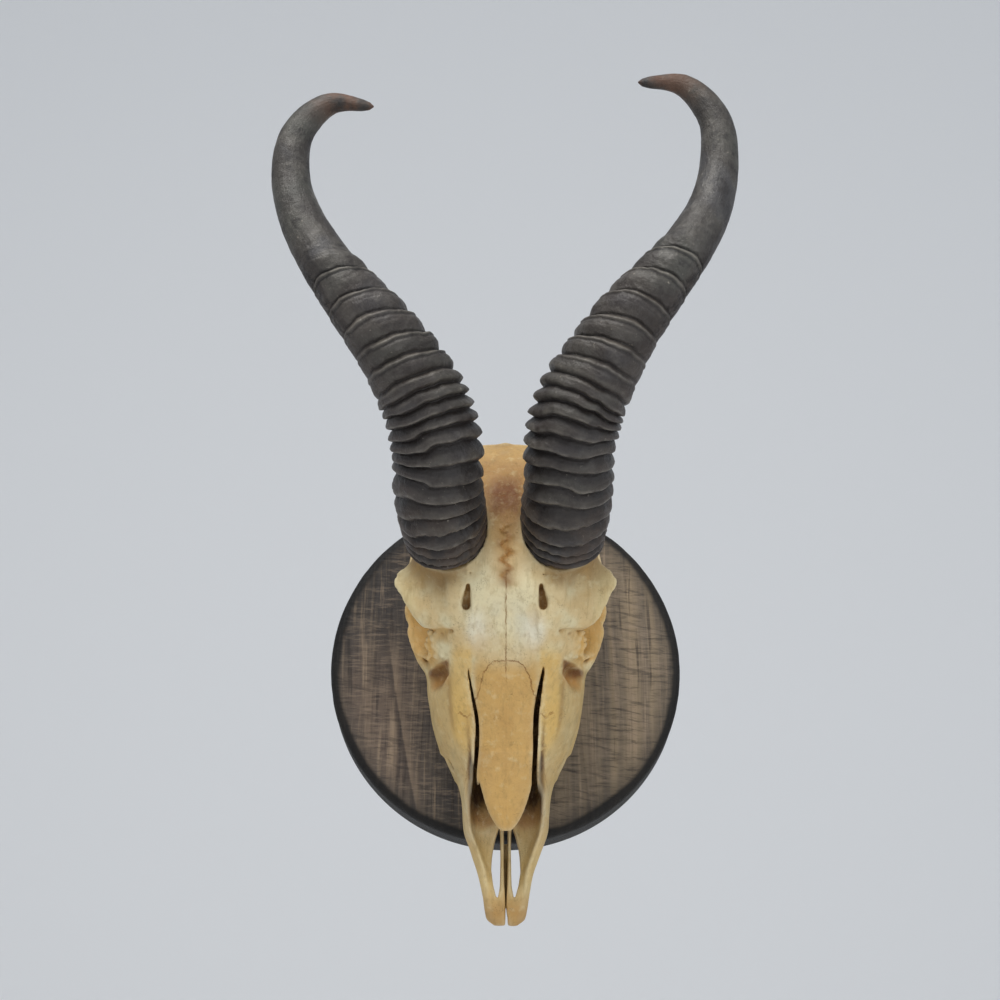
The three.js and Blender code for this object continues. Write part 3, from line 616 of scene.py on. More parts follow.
# A form round the eye: each step is a distance in from the rim and a share of the rim's size
def eye_form(steps, ragged=0.0, ends=(0, 22), under_brow=0.0):
    angles, reaches, rims = eye_tables()
    insides = np.array([s[0] for s in steps], float)
    shares = np.array([s[1] for s in steps], float)

    def distance(x, h, z):
        angle = np.arctan2(h - EYE_MIDDLE[0], z - EYE_MIDDLE[1])
        far = np.hypot(h - EYE_MIDDLE[0], z - EYE_MIDDLE[1])
        wave = ragged * (np.sin(angle * 11 + 1) + 0.7 * np.sin(angle * 23 + 2) + 0.5 * np.sin(angle * 37))
        brow = rise(0.9, 1.6, angle) * fall(2.7, 3.1, angle)
        reach = np.interp(angle, angles, reaches) * (1 - under_brow * brow)
        rim = np.interp(angle, angles, rims) + wave
        inward = rim - x
        share = eased(insides, shares[:, None], inward.ravel())[:, 0].reshape(inward.shape)
        d = far - reach * share
        return np.maximum(d, np.maximum(ends[0] - inward, inward - ends[1]))
    return [18, 24, -26], [56, 84, 44], distance


# The swelling of the upper jaw over the teeth: middle and half width at each stop
def tooth_ridge_form():
    low, waist, high = 12, 18, 25
    rows = []
    for middle, half in ((17.5, 4), (20.5, 5), (24, 6.2), (25.5, 6.8), (24.5, 6.4)):
        near, far = middle - half, middle + half
        rows.append([(near, low), (middle, low - 0.5), (far, low), (far + 0.4, waist), (far, high),
                     (middle, high), (near, high), (near, waist)])
    return lofted_form([-57, -46, -30, -12, 6], rows, along_x=False)


# A slot through the bone from above, along points of x and z, with its widths along the way
def slot_form(points, width, low, high, side):
    line = through([(x, 0, z) for x, z in points], np.linspace(0, 1, 28))
    halves = np.interp(np.linspace(0, 1, 28), np.linspace(0, 1, len(width)), width) / 2

    def distance(x, h, z):
        best = None
        x = x * side
        for i in range(len(line) - 1):
            (ax, _, az), (bx, _, bz) = line[i], line[i + 1]
            ex, ez = bx - ax, bz - az
            t = np.clip(((x - ax) * ex + (z - az) * ez) / (ex * ex + ez * ez), 0, 1)
            half = halves[i] + (halves[i + 1] - halves[i]) * t
            d = np.hypot(x - ax - ex * t, z - az - ez * t) - half
            best = d if best is None else np.minimum(best, d)
        return np.maximum(best, np.maximum(low - h, h - high))
    xs = sorted((side * line[:, 0].min(), side * line[:, 0].max()))
    return [xs[0] - 3, low, line[:, 2].min() - 3], [xs[1] + 3, high, line[:, 2].max() + 3], distance


# The brow shelf through its sections along x
def brow_form():
    rows = []
    for _, front, back, top, thick in BROW:
        inset = (back - front) * 0.1
        middle = (front + back) / 2
        rows.append([(front, top - thick * 0.55), (front + inset, top - thick * 0.12),
                     (middle, top + thick * 0.06), (back - inset, top - thick * 0.2),
                     (back, top - thick * 0.6), (back - inset, top - thick),
                     (middle, top - thick * 1.05), (front + inset, top - thick)])
    return lofted_form([row[0] for row in BROW], rows, along_x=True)


# Room for a horn's base in the skull, a little wider than the horn
def horn_room(path, side):
    shares = np.linspace(0, 0.2, 14)
    middle, _, out, _ = horn_frames(path, side, shares)
    radii = horn_radius(shares) + 0.5 + SEAT_ROOM
    depths = radii * horn_depth(shares)

    def distance(x, h, z):
        best = None
        for i in range(len(middle) - 1):
            _, over, u, v = beside(x, h, z, middle[i], middle[i + 1], out[i])
            d = (np.hypot(u / radii[i], v / depths[i]) - 1) * radii[i]
            d = np.where(over == 0, d, np.maximum(d, np.abs(over) - (SEAT_ROOM if i == 0 else 0)))
            best = d if best is None else np.minimum(best, d)
        return best
    return list(middle.min(0) - 24), list(middle.max(0) + 24), distance


# The bone that carries a horn, up to the horn's base
def pedicle_form(path, side):
    middle, forward, out, _ = horn_frames(path, side, np.array([0.0, 0.01]))
    foot = middle[0] - forward[0] * 20
    head = middle[0] - forward[0] * SEAT_ROOM
    sizes = [(14.6, 16.6), (15.8, 18), (17, 19.4)]
    return bar([foot, (foot + head) / 2, head], sizes, side=tuple(out[0]), count=4, flat=True)


# Room for the cheek teeth in the underside
def tooth_room():
    def distance(x, h, z):
        return np.maximum(h - TOOTH_ROOM_TOP, np.maximum(np.abs(x - 26) - 11, np.abs(z + 24.7) - 31.7))
    return [15, -2, -56.4], [37, TOOTH_ROOM_TOP, 7], distance


# The bone's main forms, each joined softly to what is there
def add_large_forms(field):
    field.add(body_form(BODY), 1.0, both=False)
    field.add(brow_form(), 2.6)
    field.add(eye_form([(0, 1.03), (3.4, 1.075), (11, 0.96), (22, 0.7)], ragged=0.22, under_brow=0.16), 2.6)
    field.add(egg((27.6, 57.5, -4.2), (7.6, 12, 7.2)), 3.0)
    cheek_arch = [(43.6, 39.8, 14), (44.2, 38.4, 26), (43, 37.6, 38), (39.6, 38.4, 50), (33.6, 40.6, 58),
                  (27, 43, 62)]
    field.add(bar(cheek_arch, [(1.7, 3.4), (1.5, 3.6), (1.6, 4), (2.6, 4.4), (3.4, 5)], count=20), 3.0)
    cheek_plate = [(30.6, 31, -21), (33.2, 35.4, -12.4), (38.4, 38.6, -5.4), (42.4, 39.8, 6)]
    field.add(bar(cheek_plate, [(1.6, 5), (2.2, 4.4), (2.0, 3.4)]), 2.6)
    field.add(tooth_ridge_form(), 3.0)


# Wings, hooks, ear capsules, condyles and ridges of the base and the back
def add_base_and_back(field):
    wing = [(11, 14, 2), (10, 12.6, 12), (9.2, 14.4, 24), (9, 20, 38)]
    field.add(bar(wing, [(1.3, 5), (1.2, 4.6), (1.6, 4)]), 2.4)
    hook = [(10.6, 13, 14), (11.4, 9.4, 17), (12.4, 7.4, 18.6)]
    field.add(bar(hook, [(1.2, 1.9), (1.0, 1.2)]), 2.4)
    field.add(egg((16.2, 18.6, 63.4), (4.8, 8.4, 8)), 4.0)
    field.add(egg((17.8, 19, 71), (4.4, 7, 6.4)), 4.0)
    capsule_keel = [(13.6, 14.6, 55), (14.8, 10.6, 61), (16.6, 10.8, 68), (19, 15.6, 75)]
    field.add(bar(capsule_keel, [(0.8, 1.2), (1.0, 1.5), (0.8, 1.0)], count=12), 2.6)
    ear_tube = [(24, 38, 64), (29, 39.4, 65), (33.4, 41, 66)]
    field.add(bar(ear_tube, [(4.6, 4.6), (3.8, 3.8)], side=(0, 0, 1), count=5), 2.4)
    process = [(19, 34, 84), (21.5, 22, 84), (21, 11, 80), (20, 4, 77.4)]
    field.add(bar(process, [(3.6, 5.6), (2, 3.4), (1.2, 1.8)]), 3.0)
    condyle = [(5.4, 23.4, 88.6), (8.4, 26, 90.8), (10, 31, 90.6), (10.4, 37, 88)]
    field.add(bar(condyle, [(3.0, 3.6), (4.2, 5.0), (3.0, 4.0)], count=12), 3.4)
    crest = [(25, 35, 85), (25.4, 44.6, 86.6), (19.8, 55, 87.6), (11, 60, 88), (0, 62, 88)]
    field.add(bar(crest, [(1.7, 1.7), (1.5, 1.5)], side=(0, -1, 0), count=14), 2.6)
    knob = [(0, 54, 89.6), (0, 49, 91.4), (0, 44, 91.6)]
    field.add(bar(knob, [(1.2, 2), (0.8, 1.4)], count=6), 2.6, both=False)
    temple_line = [(34, 72, 33), (30, 74, 46), (25.4, 71, 60), (22.4, 66, 74), (20, 59, 84)]
    field.add(bar(temple_line, [(0.9, 0.9)] * 2, count=14), 2.8)
    base_keel = [(0, 22, 34), (0, 20.6, 50), (0, 19.8, 66), (0, 21, 82)]
    field.add(bar(base_keel, [(5, 2), (4.4, 2), (6, 2.4)], count=8), 4.0, both=False)


# The crest of the face, the swellings over the tooth roots and the seats of the horns
def add_face_ridges(field):
    face_crest = [(28.6, 27, -46), (31.4, 30, -34), (32.4, 33.4, -22), (33.4, 36, -13)]
    field.add(bar(face_crest, [(0.9, 1.2), (1.0, 1.4)]), 2.6)
    for z, x in ((-47.5, 21.6), (-38.6, 25), (-29.4, 27.6), (-18.4, 30), (-6, 30.6), (4.4, 29.6)):
        field.add(egg((x, 20, z), (2.6, 8, 2.6)), 3.0)
    field.add(bar([(28, 20, 8), (27, 21, 10), (25.6, 22, 12)], [(5, 6), (4, 5)], count=4), 4.0)
    for path, side in HORNS:
        field.add(pedicle_form(path, side), 5.0, both=False)


# Nose, sockets, temples, tooth rooms, palate, spinal hole, ears and the hollows before the eyes
def cut_hollows(field):
    field.cut(body_form(NOSE_HOLLOW), 1.6, both=False)
    field.add(body_form(NASAL_TIP), 1.0, both=False)
    socket = [(-8, 1.3), (-1, 1.0), (0.8, 0.94), (3, 0.9), (8, 0.88), (13, 0.8), (18, 0.64), (22, 0.36)]
    field.cut(eye_form(socket, ragged=0.2, ends=(-12, 22.5)), 2.0)
    field.cut(egg((22.4, 50, 15), (6.5, 2.2, 2.8)), 1.4)
    field.cut(egg((24, 44.6, 20), (5, 1.5, 2)), 1.0)
    field.cut(egg((34, 52, 34), (8.8, 15.6, 10.4)), 5.0)
    field.cut(tooth_room(), 0.4)
    field.cut(egg((0, 10.5, -36), (15, 5.4, 42)), 5.0, both=False)
    field.cut(egg((0, 17, 14), (7.4, 9, 15)), 3.0, both=False)
    spinal_hole = [(0, 36.5, 99), (0, 36.5, 84), (0, 38, 73)]
    field.cut(bar(spinal_hole, [(7.4, 7), (6.8, 6.4), (6, 6)], count=5), 2.0, both=False)
    ear_opening = [(36.6, 41.6, 66.6), (32.6, 40.6, 66), (29, 39.6, 65)]
    field.cut(bar(ear_opening, [(2.2, 2.2), (1.8, 1.8)], side=(0, 0, 1), count=4), 0.8)
    field.cut(egg((24.5, 33, -52), (5, 2.6, 3)), 1.6)
    field.cut(egg((30.2, 58.4, -16.7), (5.4, 10.4, 3.9)), 0.6)
    field.cut(egg((34.6, 54, -16.5), (5.8, 10.4, 3.8)), 0.9)
    field.cut(egg((33.6, 54, -19.4), (5.2, 9, 5)), 3.6)


# Grooves and slots of the face and the palate, drop-shaped holes over the eyes, rooms for other pieces
def cut_slots_and_holes(field):
    face_groove = [(25.4, 63.6, -19), (24.8, 61, -29), (23.4, 57.4, -41), (22.6, 53.4, -49)]
    field.cut(bar(face_groove, [(1.2, 1.5), (1.1, 1.3), (0.9, 1.1), (0.5, 0.6)]), 2.0)
    brow_groove = [(33, 70.4, -1.2), (28.6, 73.4, -1.6), (23.4, 76.4, -2.2)]
    field.cut(bar(brow_groove, [(1.3, 1.4), (1.2, 1.2), (0.8, 0.7)], count=8), 2.2)
    right_slot = [(16.6, -17), (15, -25), (13.2, -37), (12.9, -50), (12.4, -60), (12.7, -68)]
    left_slot = [(16.6, -17.5), (14.7, -28), (12.7, -38.4), (12.7, -49.6), (13.6, -60), (13.9, -68)]
    field.cut(slot_form(right_slot, [0.7, 2.0, 2.3, 2.1, 2.2, 3.2], 40, 80, 1), 0.4, both=False)
    field.cut(slot_form(left_slot, [0.6, 1.2, 1.4, 1.7, 1.5, 2.6], 40, 80, -1), 0.4, both=False)
    palate = [(3.9, -109.6), (4.1, -104), (4.4, -97), (4.1, -90), (3.2, -83), (2.4, -78.6)]
    for side in (1, -1):
        field.cut(slot_form(palate, [0.8, 3.2, 4.2, 3.8, 2.6, 1.0], 2, 28, side), 0.6, both=False)
    jaw_notch = [(0.2, -124), (0.3, -119), (0.2, -113.4)]
    field.cut(slot_form(jaw_notch, [1.4, 1.0, 0.5], 8, 24, 1), 0.5, both=False)
    # Each drop is made of eggs: how far inward, z, half width, half height and depth
    drop = [(0.0, 7.4, 2.35, 2.8, 6.4), (0.2, 9.4, 2.1, 2.4, 5.6), (0.5, 11.6, 1.5, 2.2, 4.4),
            (0.9, 14, 0.9, 2.0, 3.4)]
    for side, foot_x in ((1, 16.2), (-1, 17.4)):
        for inward, hole_z, half_width, half_height, depth in drop:
            hole = egg((side * (foot_x - inward), 87, hole_z), (half_width, depth, half_height))
            field.cut(hole, 0.7, both=False)
    for x, h, z, size in ((16.4, 88.8, 20, 0.7), (-15.4, 88.8, 20.6, 0.6), (18.4, 86, 2, 0.5)):
        field.cut(egg((x, h, z), (size, 2.2, size)), 0.6, both=False)
    for side in (1, -1):
        groove = [(side * 16.6, 87.2, 6), (side * 17.6, 85.4, 0), (side * 19, 82.6, -6)]
        field.cut(bar(groove, [(1.1, 1.0), (1.4, 0.7), (1.4, 0.3)], count=6), 1.6, both=False)
    for path, side in HORNS:
        field.cut(horn_room(path, side), 0.3, both=False)
    screw_room = [(0, 8, SCREW_HEIGHT), (0, 20, SCREW_HEIGHT), (0, 31.2, SCREW_HEIGHT)]
    field.cut(bar(screw_room, [(2.3, 2.3)] * 2, count=3, flat=True), 0.2, both=False)


# Palate rods, beads on the tear bones and the brow edges, and the crust on the middle line
def add_fine_forms(field):
    for side in (1, -1):
        rod = [(side * 1.9, 13.4, -116), (side * 1.7, 15.4, -106), (side * 1.65, 16.6, -96),
               (side * 1.7, 17.4, -84), (side * 1.9, 18.4, -74)]
        field.add(bar(rod, [(1.2, 2), (0.9, 1.8), (0.9, 1.7), (1.1, 1.7)], count=12), 0.4, both=False)
    rod_gap = [(0.1, -113), (0, -104), (0, -90), (0, -74)]
    field.cut(slot_form(rod_gap, [0.4, 1.3, 1.5, 1.5], 11.6, 30, 1), 0.2, both=False)
    tear_beads = [
        (33.6, 67, -0.6, 1.5), (34.6, 64.6, -3, 1.3), (32.4, 67.6, -3.4, 1.2), (34.2, 63, -6, 1.3),
        (31.6, 66.2, -6.4, 1.0), (30.2, 68.6, -1.6, 1.2), (35.4, 62.4, -4.6, 0.9), (33.2, 61.4, -8.8, 1.4),
        (30.8, 63.6, -10.6, 1.3), (28.2, 66.4, -11, 1.1), (34.4, 59.4, -10.4, 1.1), (28.6, 69.8, 0.2, 1.0)]
    for x, h, z, size in tear_beads:
        field.add(egg((x, h - 0.2, z), (size * 0.9, size * 0.9, size * 0.9)), 1.6)
    brow_edge = [(29, 71.6, 0.2), (33, 70.4, 0.6), (36.4, 70.2, 1.6), (40.4, 71, 5.4), (43.2, 71.2, 11),
                 (45.4, 71.2, 15.4), (48, 70.6, 19.6), (48.4, 70.2, 22.6), (45.6, 71, 26.6)]
    for x, h, z in through(brow_edge, np.linspace(0, 1, 34)):
        for side, shift, back in ((1, 0, 0), (-1, 60, 0.3)):
            size = 0.85 + 0.4 * noise([(x * 3, h + shift, z * 3)], 5)[0]
            field.add(egg((side * x, h + 0.3, z + back), (size, size, size * 0.8)), 0.9, both=False)
    for i in range(15):
        z = 18 + i * 1.75
        for dx in (-1.0, 0.9):
            sway = 1.7 * math.sin(z * 0.9) + 1.1 * noise([(z, dx, 3)], 2.6)[0]
            top = float(np.interp(z, [16, 28, 40, 44], [87, 89, 88.4, 87.6]))
            size = 1.1 + 0.5 * noise([(z, dx * 5, 9)], 3)[0]
            field.add(egg((sway + dx, top - 0.3, z), (size, 1.0, size)), 0.7, both=False)


field = Field([-52, -1, -125], [52, 95, 100.5], GRID_STEP)
for step in (add_large_forms, add_base_and_back, add_face_ridges, cut_hollows, cut_slots_and_holes,
             add_fine_forms):
    step(field)
points, quads = surface_of(field)
points = relaxed(points, quads, 2)


# Fewer faces where the bone is flat, for a mesh that stays light
def thinned(name, points, faces, triangles):
    mesh = mesh_from(name, points, [faces])
    obj = new_object(name + "_full", mesh)
    share = triangles / (2 * len(faces))
    if share < 1:
        step = obj.modifiers.new("thin", "DECIMATE")
        step.ratio = share
    light = carried_out(obj)
    light.name = name
    bpy.data.objects.remove(obj)
    bpy.data.meshes.remove(mesh)
    light.shade_smooth()
    return light


# How much of the bone lies round each point of the mesh, within a block of the given half width
def shelter(half_width):
    return looked_up(field, blurred(field.value < 0, int(round(half_width / GRID_STEP))), place)


skull_mesh = thinned("skull_bone", points, quads[:, ::-1], SKULL_TRIANGLES)
place = read_points(skull_mesh)
cavity = shelter(3.2)
crease = shelter(1.3)
x, h, z = place.T
ax = np.abs(x)


# From 1 inside an egg-shaped part of the skull, on both sides or as it is, to 0 outside it
def zone(middle, size, soft=1.0, both=True):
    far = np.sqrt(sum(((c - m) / s) ** 2 for c, m, s in zip((ax if both else x, h, z), middle, size)))
    return fall(1 - 0.5 * soft, 1 + 0.5 * soft, far)


# From 0 to 1 and back to 0 as a value passes from low to high
def within(value, low, inner_low, inner_high, high):
    return rise(low, inner_low, value) * fall(inner_high, high, value)


# A colour code as the linear values that materials use
def srgb(code):
    values = np.array([int(code[i:i + 2], 16) / 255 for i in (0, 2, 4)])
    return np.where(values <= 0.04045, values / 12.92, ((values + 0.055) / 1.055) ** 2.4)


# Brown stain that runs from a horn's base over the bone round it
def horn_stain(path, side):
    middle, forward, _ = horn_frames(path, side, np.array([0.0, 0.02]))[:3]
    rel = place - middle[0]
    along = rel @ forward[0]
    radial = np.linalg.norm(rel - along[:, None] * forward[0], axis=1)
    return fall(19, 30, radial + 2.5 * patch) * rise(-20, -4, along) * 0.85 * np.where(ax > 17, 1.0, 0.35)


patch = noise.layered(place, 9.0, 3)
fleck = noise.layered(place + 50, 3.0, 2)
side_face = rise(15, 22, ax) * fall(-16, -6, z) * fall(60, 68, h)
nasal = fall(12, 15, ax) * fall(-22, -12, z) * rise(43, 47, h)
roof = np.interp(z, [-84, -61, -40, -18], [45, 54, 62, 71])
in_nose = fall(15.6, 17.6, ax) * fall(-10, -4, z) * rise(18.6, 20.4, h) * fall(-4.6, -3.2, h - roof) \
    * rise(-82, -76, z)
brow_edge = zone((45, 71.5, 16), (8, 6, 17), 0.8)
socket = zone((38, 56, 8), (14, 20, 22), 0.4) * fall(66, 71, h)
inner_face = within(ax, 14, 16, 22, 26) * fall(-14, -6, z) * rise(48, 54, h)
groove_line = np.interp(z, [-49, -41, -29, -19], [22.6, 23.4, 24.8, 25.4])
niche = within(ax, 24.4, 26, 35, 39) * rise(42, 46, h) * fall(-13.4, -12.4, z)
crust = bump_at(x, 1.7 * np.sin(z * 0.9), 1.7 + 0.8 * noise(place, 4)) * within(z, 14, 19, 40, 46) \
    * rise(78, 82, h)
nape_stain = bump_at(x, 0, 9) * within(z, 38, 50, 58, 70) * rise(68, 76, h)
hole = zone((16.2, 84, 10), (4.2, 5.4, 8), 0.3) * rise(0.5, 0.6, shelter(2.2))

# Colours laid over each other in this order, each with how much it covers
LAYERS = [
    ("d8cda6", rise(-0.2, 0.9, patch) * 0.8),
    ("bf9d62", rise(0.1, 1.0, -patch) * 0.6),
    # Forehead, paler and a little grey, with a painted sheen highlight on each side
    ("e6dab2", zone((0, 84, 8), (20, 12, 26), 0.9, both=False) * 0.8),
    ("c3bfae", zone((1, 80, -4), (12, 8, 16), both=False) * (0.35 + 0.35 * patch)),
    ("e6dfcb", zone((12.6, 84, -5), (5, 9, 9)) * 0.6),
    # Cheeks and sides of the face, grey-green tan
    ("bfa36c", side_face * 0.75),
    ("a08a5c", side_face * rise(0.1, 1.0, fleck + patch) * 0.4),
    # Nasal bones, amber tan
    ("c4974f", nasal * 0.8),
    ("b0813c", nasal * rise(-0.3, 0.9, patch) * 0.5),
    ("c69a55", nasal * fall(-84, -66, z) * 0.5),
    # Painted shade, warm brown, where the bone is hollow: inside the nose and the sockets
    ("a8763c", rise(0.6, 0.86, cavity) * 0.8),
    # Tip of the jaw, paler with brown stain
    ("cfb173", fall(-92, -78, z) * fall(26, 34, h) * 0.75),
    ("a87c40", fall(-118, -103, z) * 0.85),
    # Brow rims and sockets, yellow-orange
    ("dccb99", brow_edge * 0.55),
    ("d2a356", socket * 0.85),
    # Sides of the nose, painted shade along their groove, and the hollows in front of the eyes
    ("dab05e", inner_face * 0.7),
    ("8f6c38", bump_at(ax, groove_line, 1.0) * within(z, -52, -46, -21, -17) * rise(50, 54, h) * 0.6),
    # Painted shade under the arch of each hollow in front of the eyes, orange-brown and darkest just below
    # the arch
    ("b87c30", niche * rise(-24, -18, z) * 0.8),
    ("5c3006", niche * rise(-18.5, -14.4, z) * 0.9),
    # Crust along the middle line, the stain behind it and the tan bone between and behind the horns
    ("c79a5e", rise(40, 58, z) * rise(56, 66, h) * 0.8),
    ("c08f4e", bump_at(x, 0, 6.5) * within(z, 12, 22, 50, 60) * rise(76, 82, h) * 0.6),
    ("b0762e", crust * 0.95),
    ("8a6a48", bump_at(x, 0, 3.4) * within(z, 13, 16, 21, 25) * rise(78, 82, h) * 0.6),
    ("93662e", rise(50, 66, z) * rise(40, 50, h) * (0.7 + 0.25 * patch)),
    ("7d5220", bump_at(x, 0, 5) * within(z, 26, 40, 60, 76) * rise(66, 74, h) * 0.6),
    ("6a3800", np.clip(nape_stain * 1.3, 0, 1) * rise(-1.6, 0.0, patch) * 0.95),
    ("7f6136", horn_stain(HORN_RIGHT, 1)),
    ("7f6136", horn_stain(HORN_LEFT, -1)),
    # Back and base of the skull, duller
    ("ae9768", rise(60, 92, z) * 0.5),
    ("a38a5a", fall(14, 34, h) * rise(-70, -40, z) * 0.55),
    # Inside of the nose, amber brown bone with painted shade: dark behind the nasal bones and amber lower
    # down
    ("94602a", in_nose * 0.8),
    ("341b0a", in_nose * rise(-81, -67, z) * 0.95),
    # Painted shade in creases, sheltered places and the holes over the eyes
    ("8d6433", rise(0.56, 0.8, shelter(6.5)) * 0.5),
    ("6f5128", rise(0.6, 0.78, crease) * 0.55),
    # Painted highlight on edges that stand out
    ("e2d9b8", rise(0.52, 0.30, crease) * 0.25),
    ("6a4414", hole * 0.85),
]
tone = np.tile(srgb("d0b583"), (len(place), 1))
for code, weight in LAYERS:
    weight = np.clip(weight, 0, 1)[:, None]
    tone = tone * (1 - weight) + srgb(code) * weight
set_point_data(skull_mesh, "tone", np.hstack([tone, np.ones((len(tone), 1))]))

# Signed distances to the sutures, and how strongly each shows: the middle line, the front and the
# side end of the frontals, the crown behind the horns and the front of the upper jaw. The crust
# takes the last place, which has no line.
front_stops = [0, 5.6, 7.4, 9.9, 11.2, 12.2, 14.4, 17]
front_places = [-15.3, -15.6, -17, -20.6, -25, -28.4, -31.6, -34]
front_line = np.interp(ax, front_stops, front_places)
reach = 0.4
steep = np.interp(ax + reach, front_stops, front_places) - np.interp(ax - reach, front_stops, front_places)
front_scale = 1 / np.sqrt(1 + (steep / (2 * reach)) ** 2)
side_line = -36.4 + 0.9 * np.sin((ax - 14) * 1.3) + 0.25 * (ax - 17)
jaw_line = np.interp(z, [-96, -88, -76, -64, -56], [13, 19, 29, 41, 49])
crown_line = np.interp(ax, [0, 8, 16, 24, 32], [57, 58.5, 61, 60, 52])
top = rise(46, 52, h)
SUTURES = {
    "lines_a": (x, (z - front_line) * front_scale, (z - side_line) * 0.8),
    "shows_a": (top * (0.12 + 0.88 * rise(-24, -18, z)) * within(z, -86, -82, 16, 24),
                top * fall(14.0, 15.0, ax),
                within(ax, 14.2, 15, 20.4, 21.6) * rise(48, 52, h) * 0.8),
    "lines_b": (z - crown_line, (h - jaw_line) * 0.76, 0 * z),
    "shows_b": (rise(50, 58, h) * rise(40, 48, z) * 0.25,
                within(z, -98, -94, -58, -54) * rise(12, 15, ax) * 0.7,
                crust),
}
for name, parts in SUTURES.items():
    set_point_data(skull_mesh, name, np.stack(parts, 1))

# Uneven surface of old bone, even where it touches the teeth
rough = zone((33.4, 65, -4), (5, 6, 8)) + brow_edge * 0.7 + crust * 1.4 + 0.25
lift = noise.layered(place, 14, 2) * 0.22 + noise.layered(place, 3.2, 2) * 0.10 * rough \
    + noise(place, 1.5) * 0.09 * rough
lift = lift * np.minimum(1, 0.2 + np.abs(h - TOOTH_ROOM_TOP) / 2)
move_points(skull_mesh, to_metres(place))
turn_outward(skull_mesh)
skull_mesh.update()
outward = read_points(skull_mesh, "normal")
move_points(skull_mesh, read_points(skull_mesh) + outward * lift[:, None] * MM)
skull = new_object("skull_bone", skull_mesh)


# Groove places along each horn as shares of its length
GROOVES_RIGHT = [
    0, 0.0112, 0.025, 0.0425, 0.0675, 0.1, 0.1275, 0.1562, 0.1825, 0.21, 0.233, 0.2538, 0.274, 0.299, 0.335,
    0.375, 0.4162, 0.4638, 0.5162, 0.5675,
]
GROOVES_LEFT = [
    0, 0.0075, 0.0225, 0.0362, 0.0562, 0.0825, 0.1125, 0.145, 0.1725, 0.2, 0.2245, 0.248, 0.2738, 0.296,
    0.3212, 0.36, 0.3988, 0.4438, 0.4912, 0.5475,
]
LAST_RING = 14
HORN_STEPS = 620
HORN_AROUND = 132


# Rings of a horn over its plain taper, from shares of its length and directions round it: how far the surface
# is lifted, how much painted shade its grooves and the undersides of its ridges take, and how much painted
# highlight its crests take
def horn_rings(t, outward, facing, side, grooves, length):
    wrap = np.stack([outward.ravel() * 30, facing.ravel() * 30, t.ravel() * length], 1)

    def wander(shift, scale):
        return noise.layered(wrap + side * shift, scale, 2).reshape(t.shape)

    # Rings lie at a slant, bow toward the tip in front and shift a little at a seam on the outer side
    upper = rise(0.24, 0.36, t)
    lower = 1 - upper
    seam = np.tanh((outward - 0.3 - 0.25 * np.sin(t * 31 + side)) / 0.12) * np.sin(t * 47 + 2 * side)
    waves = wander(40, 26) * 0.9 + wander(90, 8) * 0.45 + seam * 1.1 * lower
    place = t * length + 6.0 * (1 - facing) * rise(0.01, 0.12, t) - 2.2 * outward * upper \
        + waves * rise(0.0, 0.05, t) + wander(60, 3.2) * 0.5 * fall(0.05, 0.12, t)
    marks = np.array(grooves) * length
    order = np.clip(np.searchsorted(marks, place, side="right") - 1, 0, len(marks) - 1)
    start = marks[order]
    end = np.append(marks[1:], marks[-1] + LAST_RING)[order]
    span = end - start
    above = np.maximum(place - start, 0)
    left = end - place
    s = np.clip(above / span, 0, 1)
    strength = np.interp(place, [0, 8, 20, 45, 80, 110, 132, 150, 165],
                         [0.9, 1.5, 2.1, 2.2, 2.0, 1.8, 1.5, 1.1, 0.4])
    strength = strength * (1 + 0.3 * wander(150, 15))
    strength *= 1 - (0.3 + 0.5 * upper) * np.clip(outward, 0, 1) - 0.25 * np.clip(-facing, 0, 1)
    # Low rings overhang toward the base, upper ones step down toward the tip
    low_ring = rise(-0.04, 0.3, s) * fall(0.4, 0.96, s) ** 0.9
    high_ring = rise(0, 0.5, s) * rise(0.0, np.minimum(2.1, 0.4 * span), left)
    swell = low_ring * lower + high_ring * upper
    line = bump_at(above, 0, 0.5) + bump_at(left, 0, 0.5)
    # Painted highlight along the crests of the rings
    low_crest = bump_at(s, 0.24, 0.1) * lower * (0.6 + 0.8 * np.clip(wander(170, 5), -0.5, 0.5))
    crest = low_crest + 0.8 * bump_at(left, 1.7, 0.6) * upper
    # Painted shade just below the crest of each upper ring
    under = bump_at(left, 3.1, 0.7) * upper * rise(5, 8, span)
    extra = bump_at((s - 0.52) * span, 0, 0.5) * (1 - 0.6 * upper) * rise(5, 9, span) \
        * rise(-0.3, 0.3, wander(120, 11))
    ringed = fall(marks[-1] + 6, marks[-1] + LAST_RING, place)
    fade = ringed * (1 - 0.6 * upper * np.clip(outward, 0, 1))
    wrinkle = noise.layered(wrap * (0.35, 0.35, 1.6) + 300, 2.2, 2).reshape(t.shape)
    lift = strength * swell * ringed + (0.35 * crest - 0.9 * line - 0.5 * under - 0.35 * extra) * fade \
        + wander(200, 2.6) * 0.10 + wrinkle * 0.10 * fall(0.5, 0.7, t) + 0.5 * bump_at(t * length, 0, 2.0)
    # Painted shade over the recessed tip-side part of each low band; with the groove lines and the shade
    # under the upper crests it makes the grooves' darkness
    shade = lower * rise(0.5, 0.8, s)
    groove = (line + shade + 0.85 * under + 0.6 * extra) * fade * np.clip(strength, 0.3, 1)
    return lift, np.clip(groove, 0, 1), crest * fade


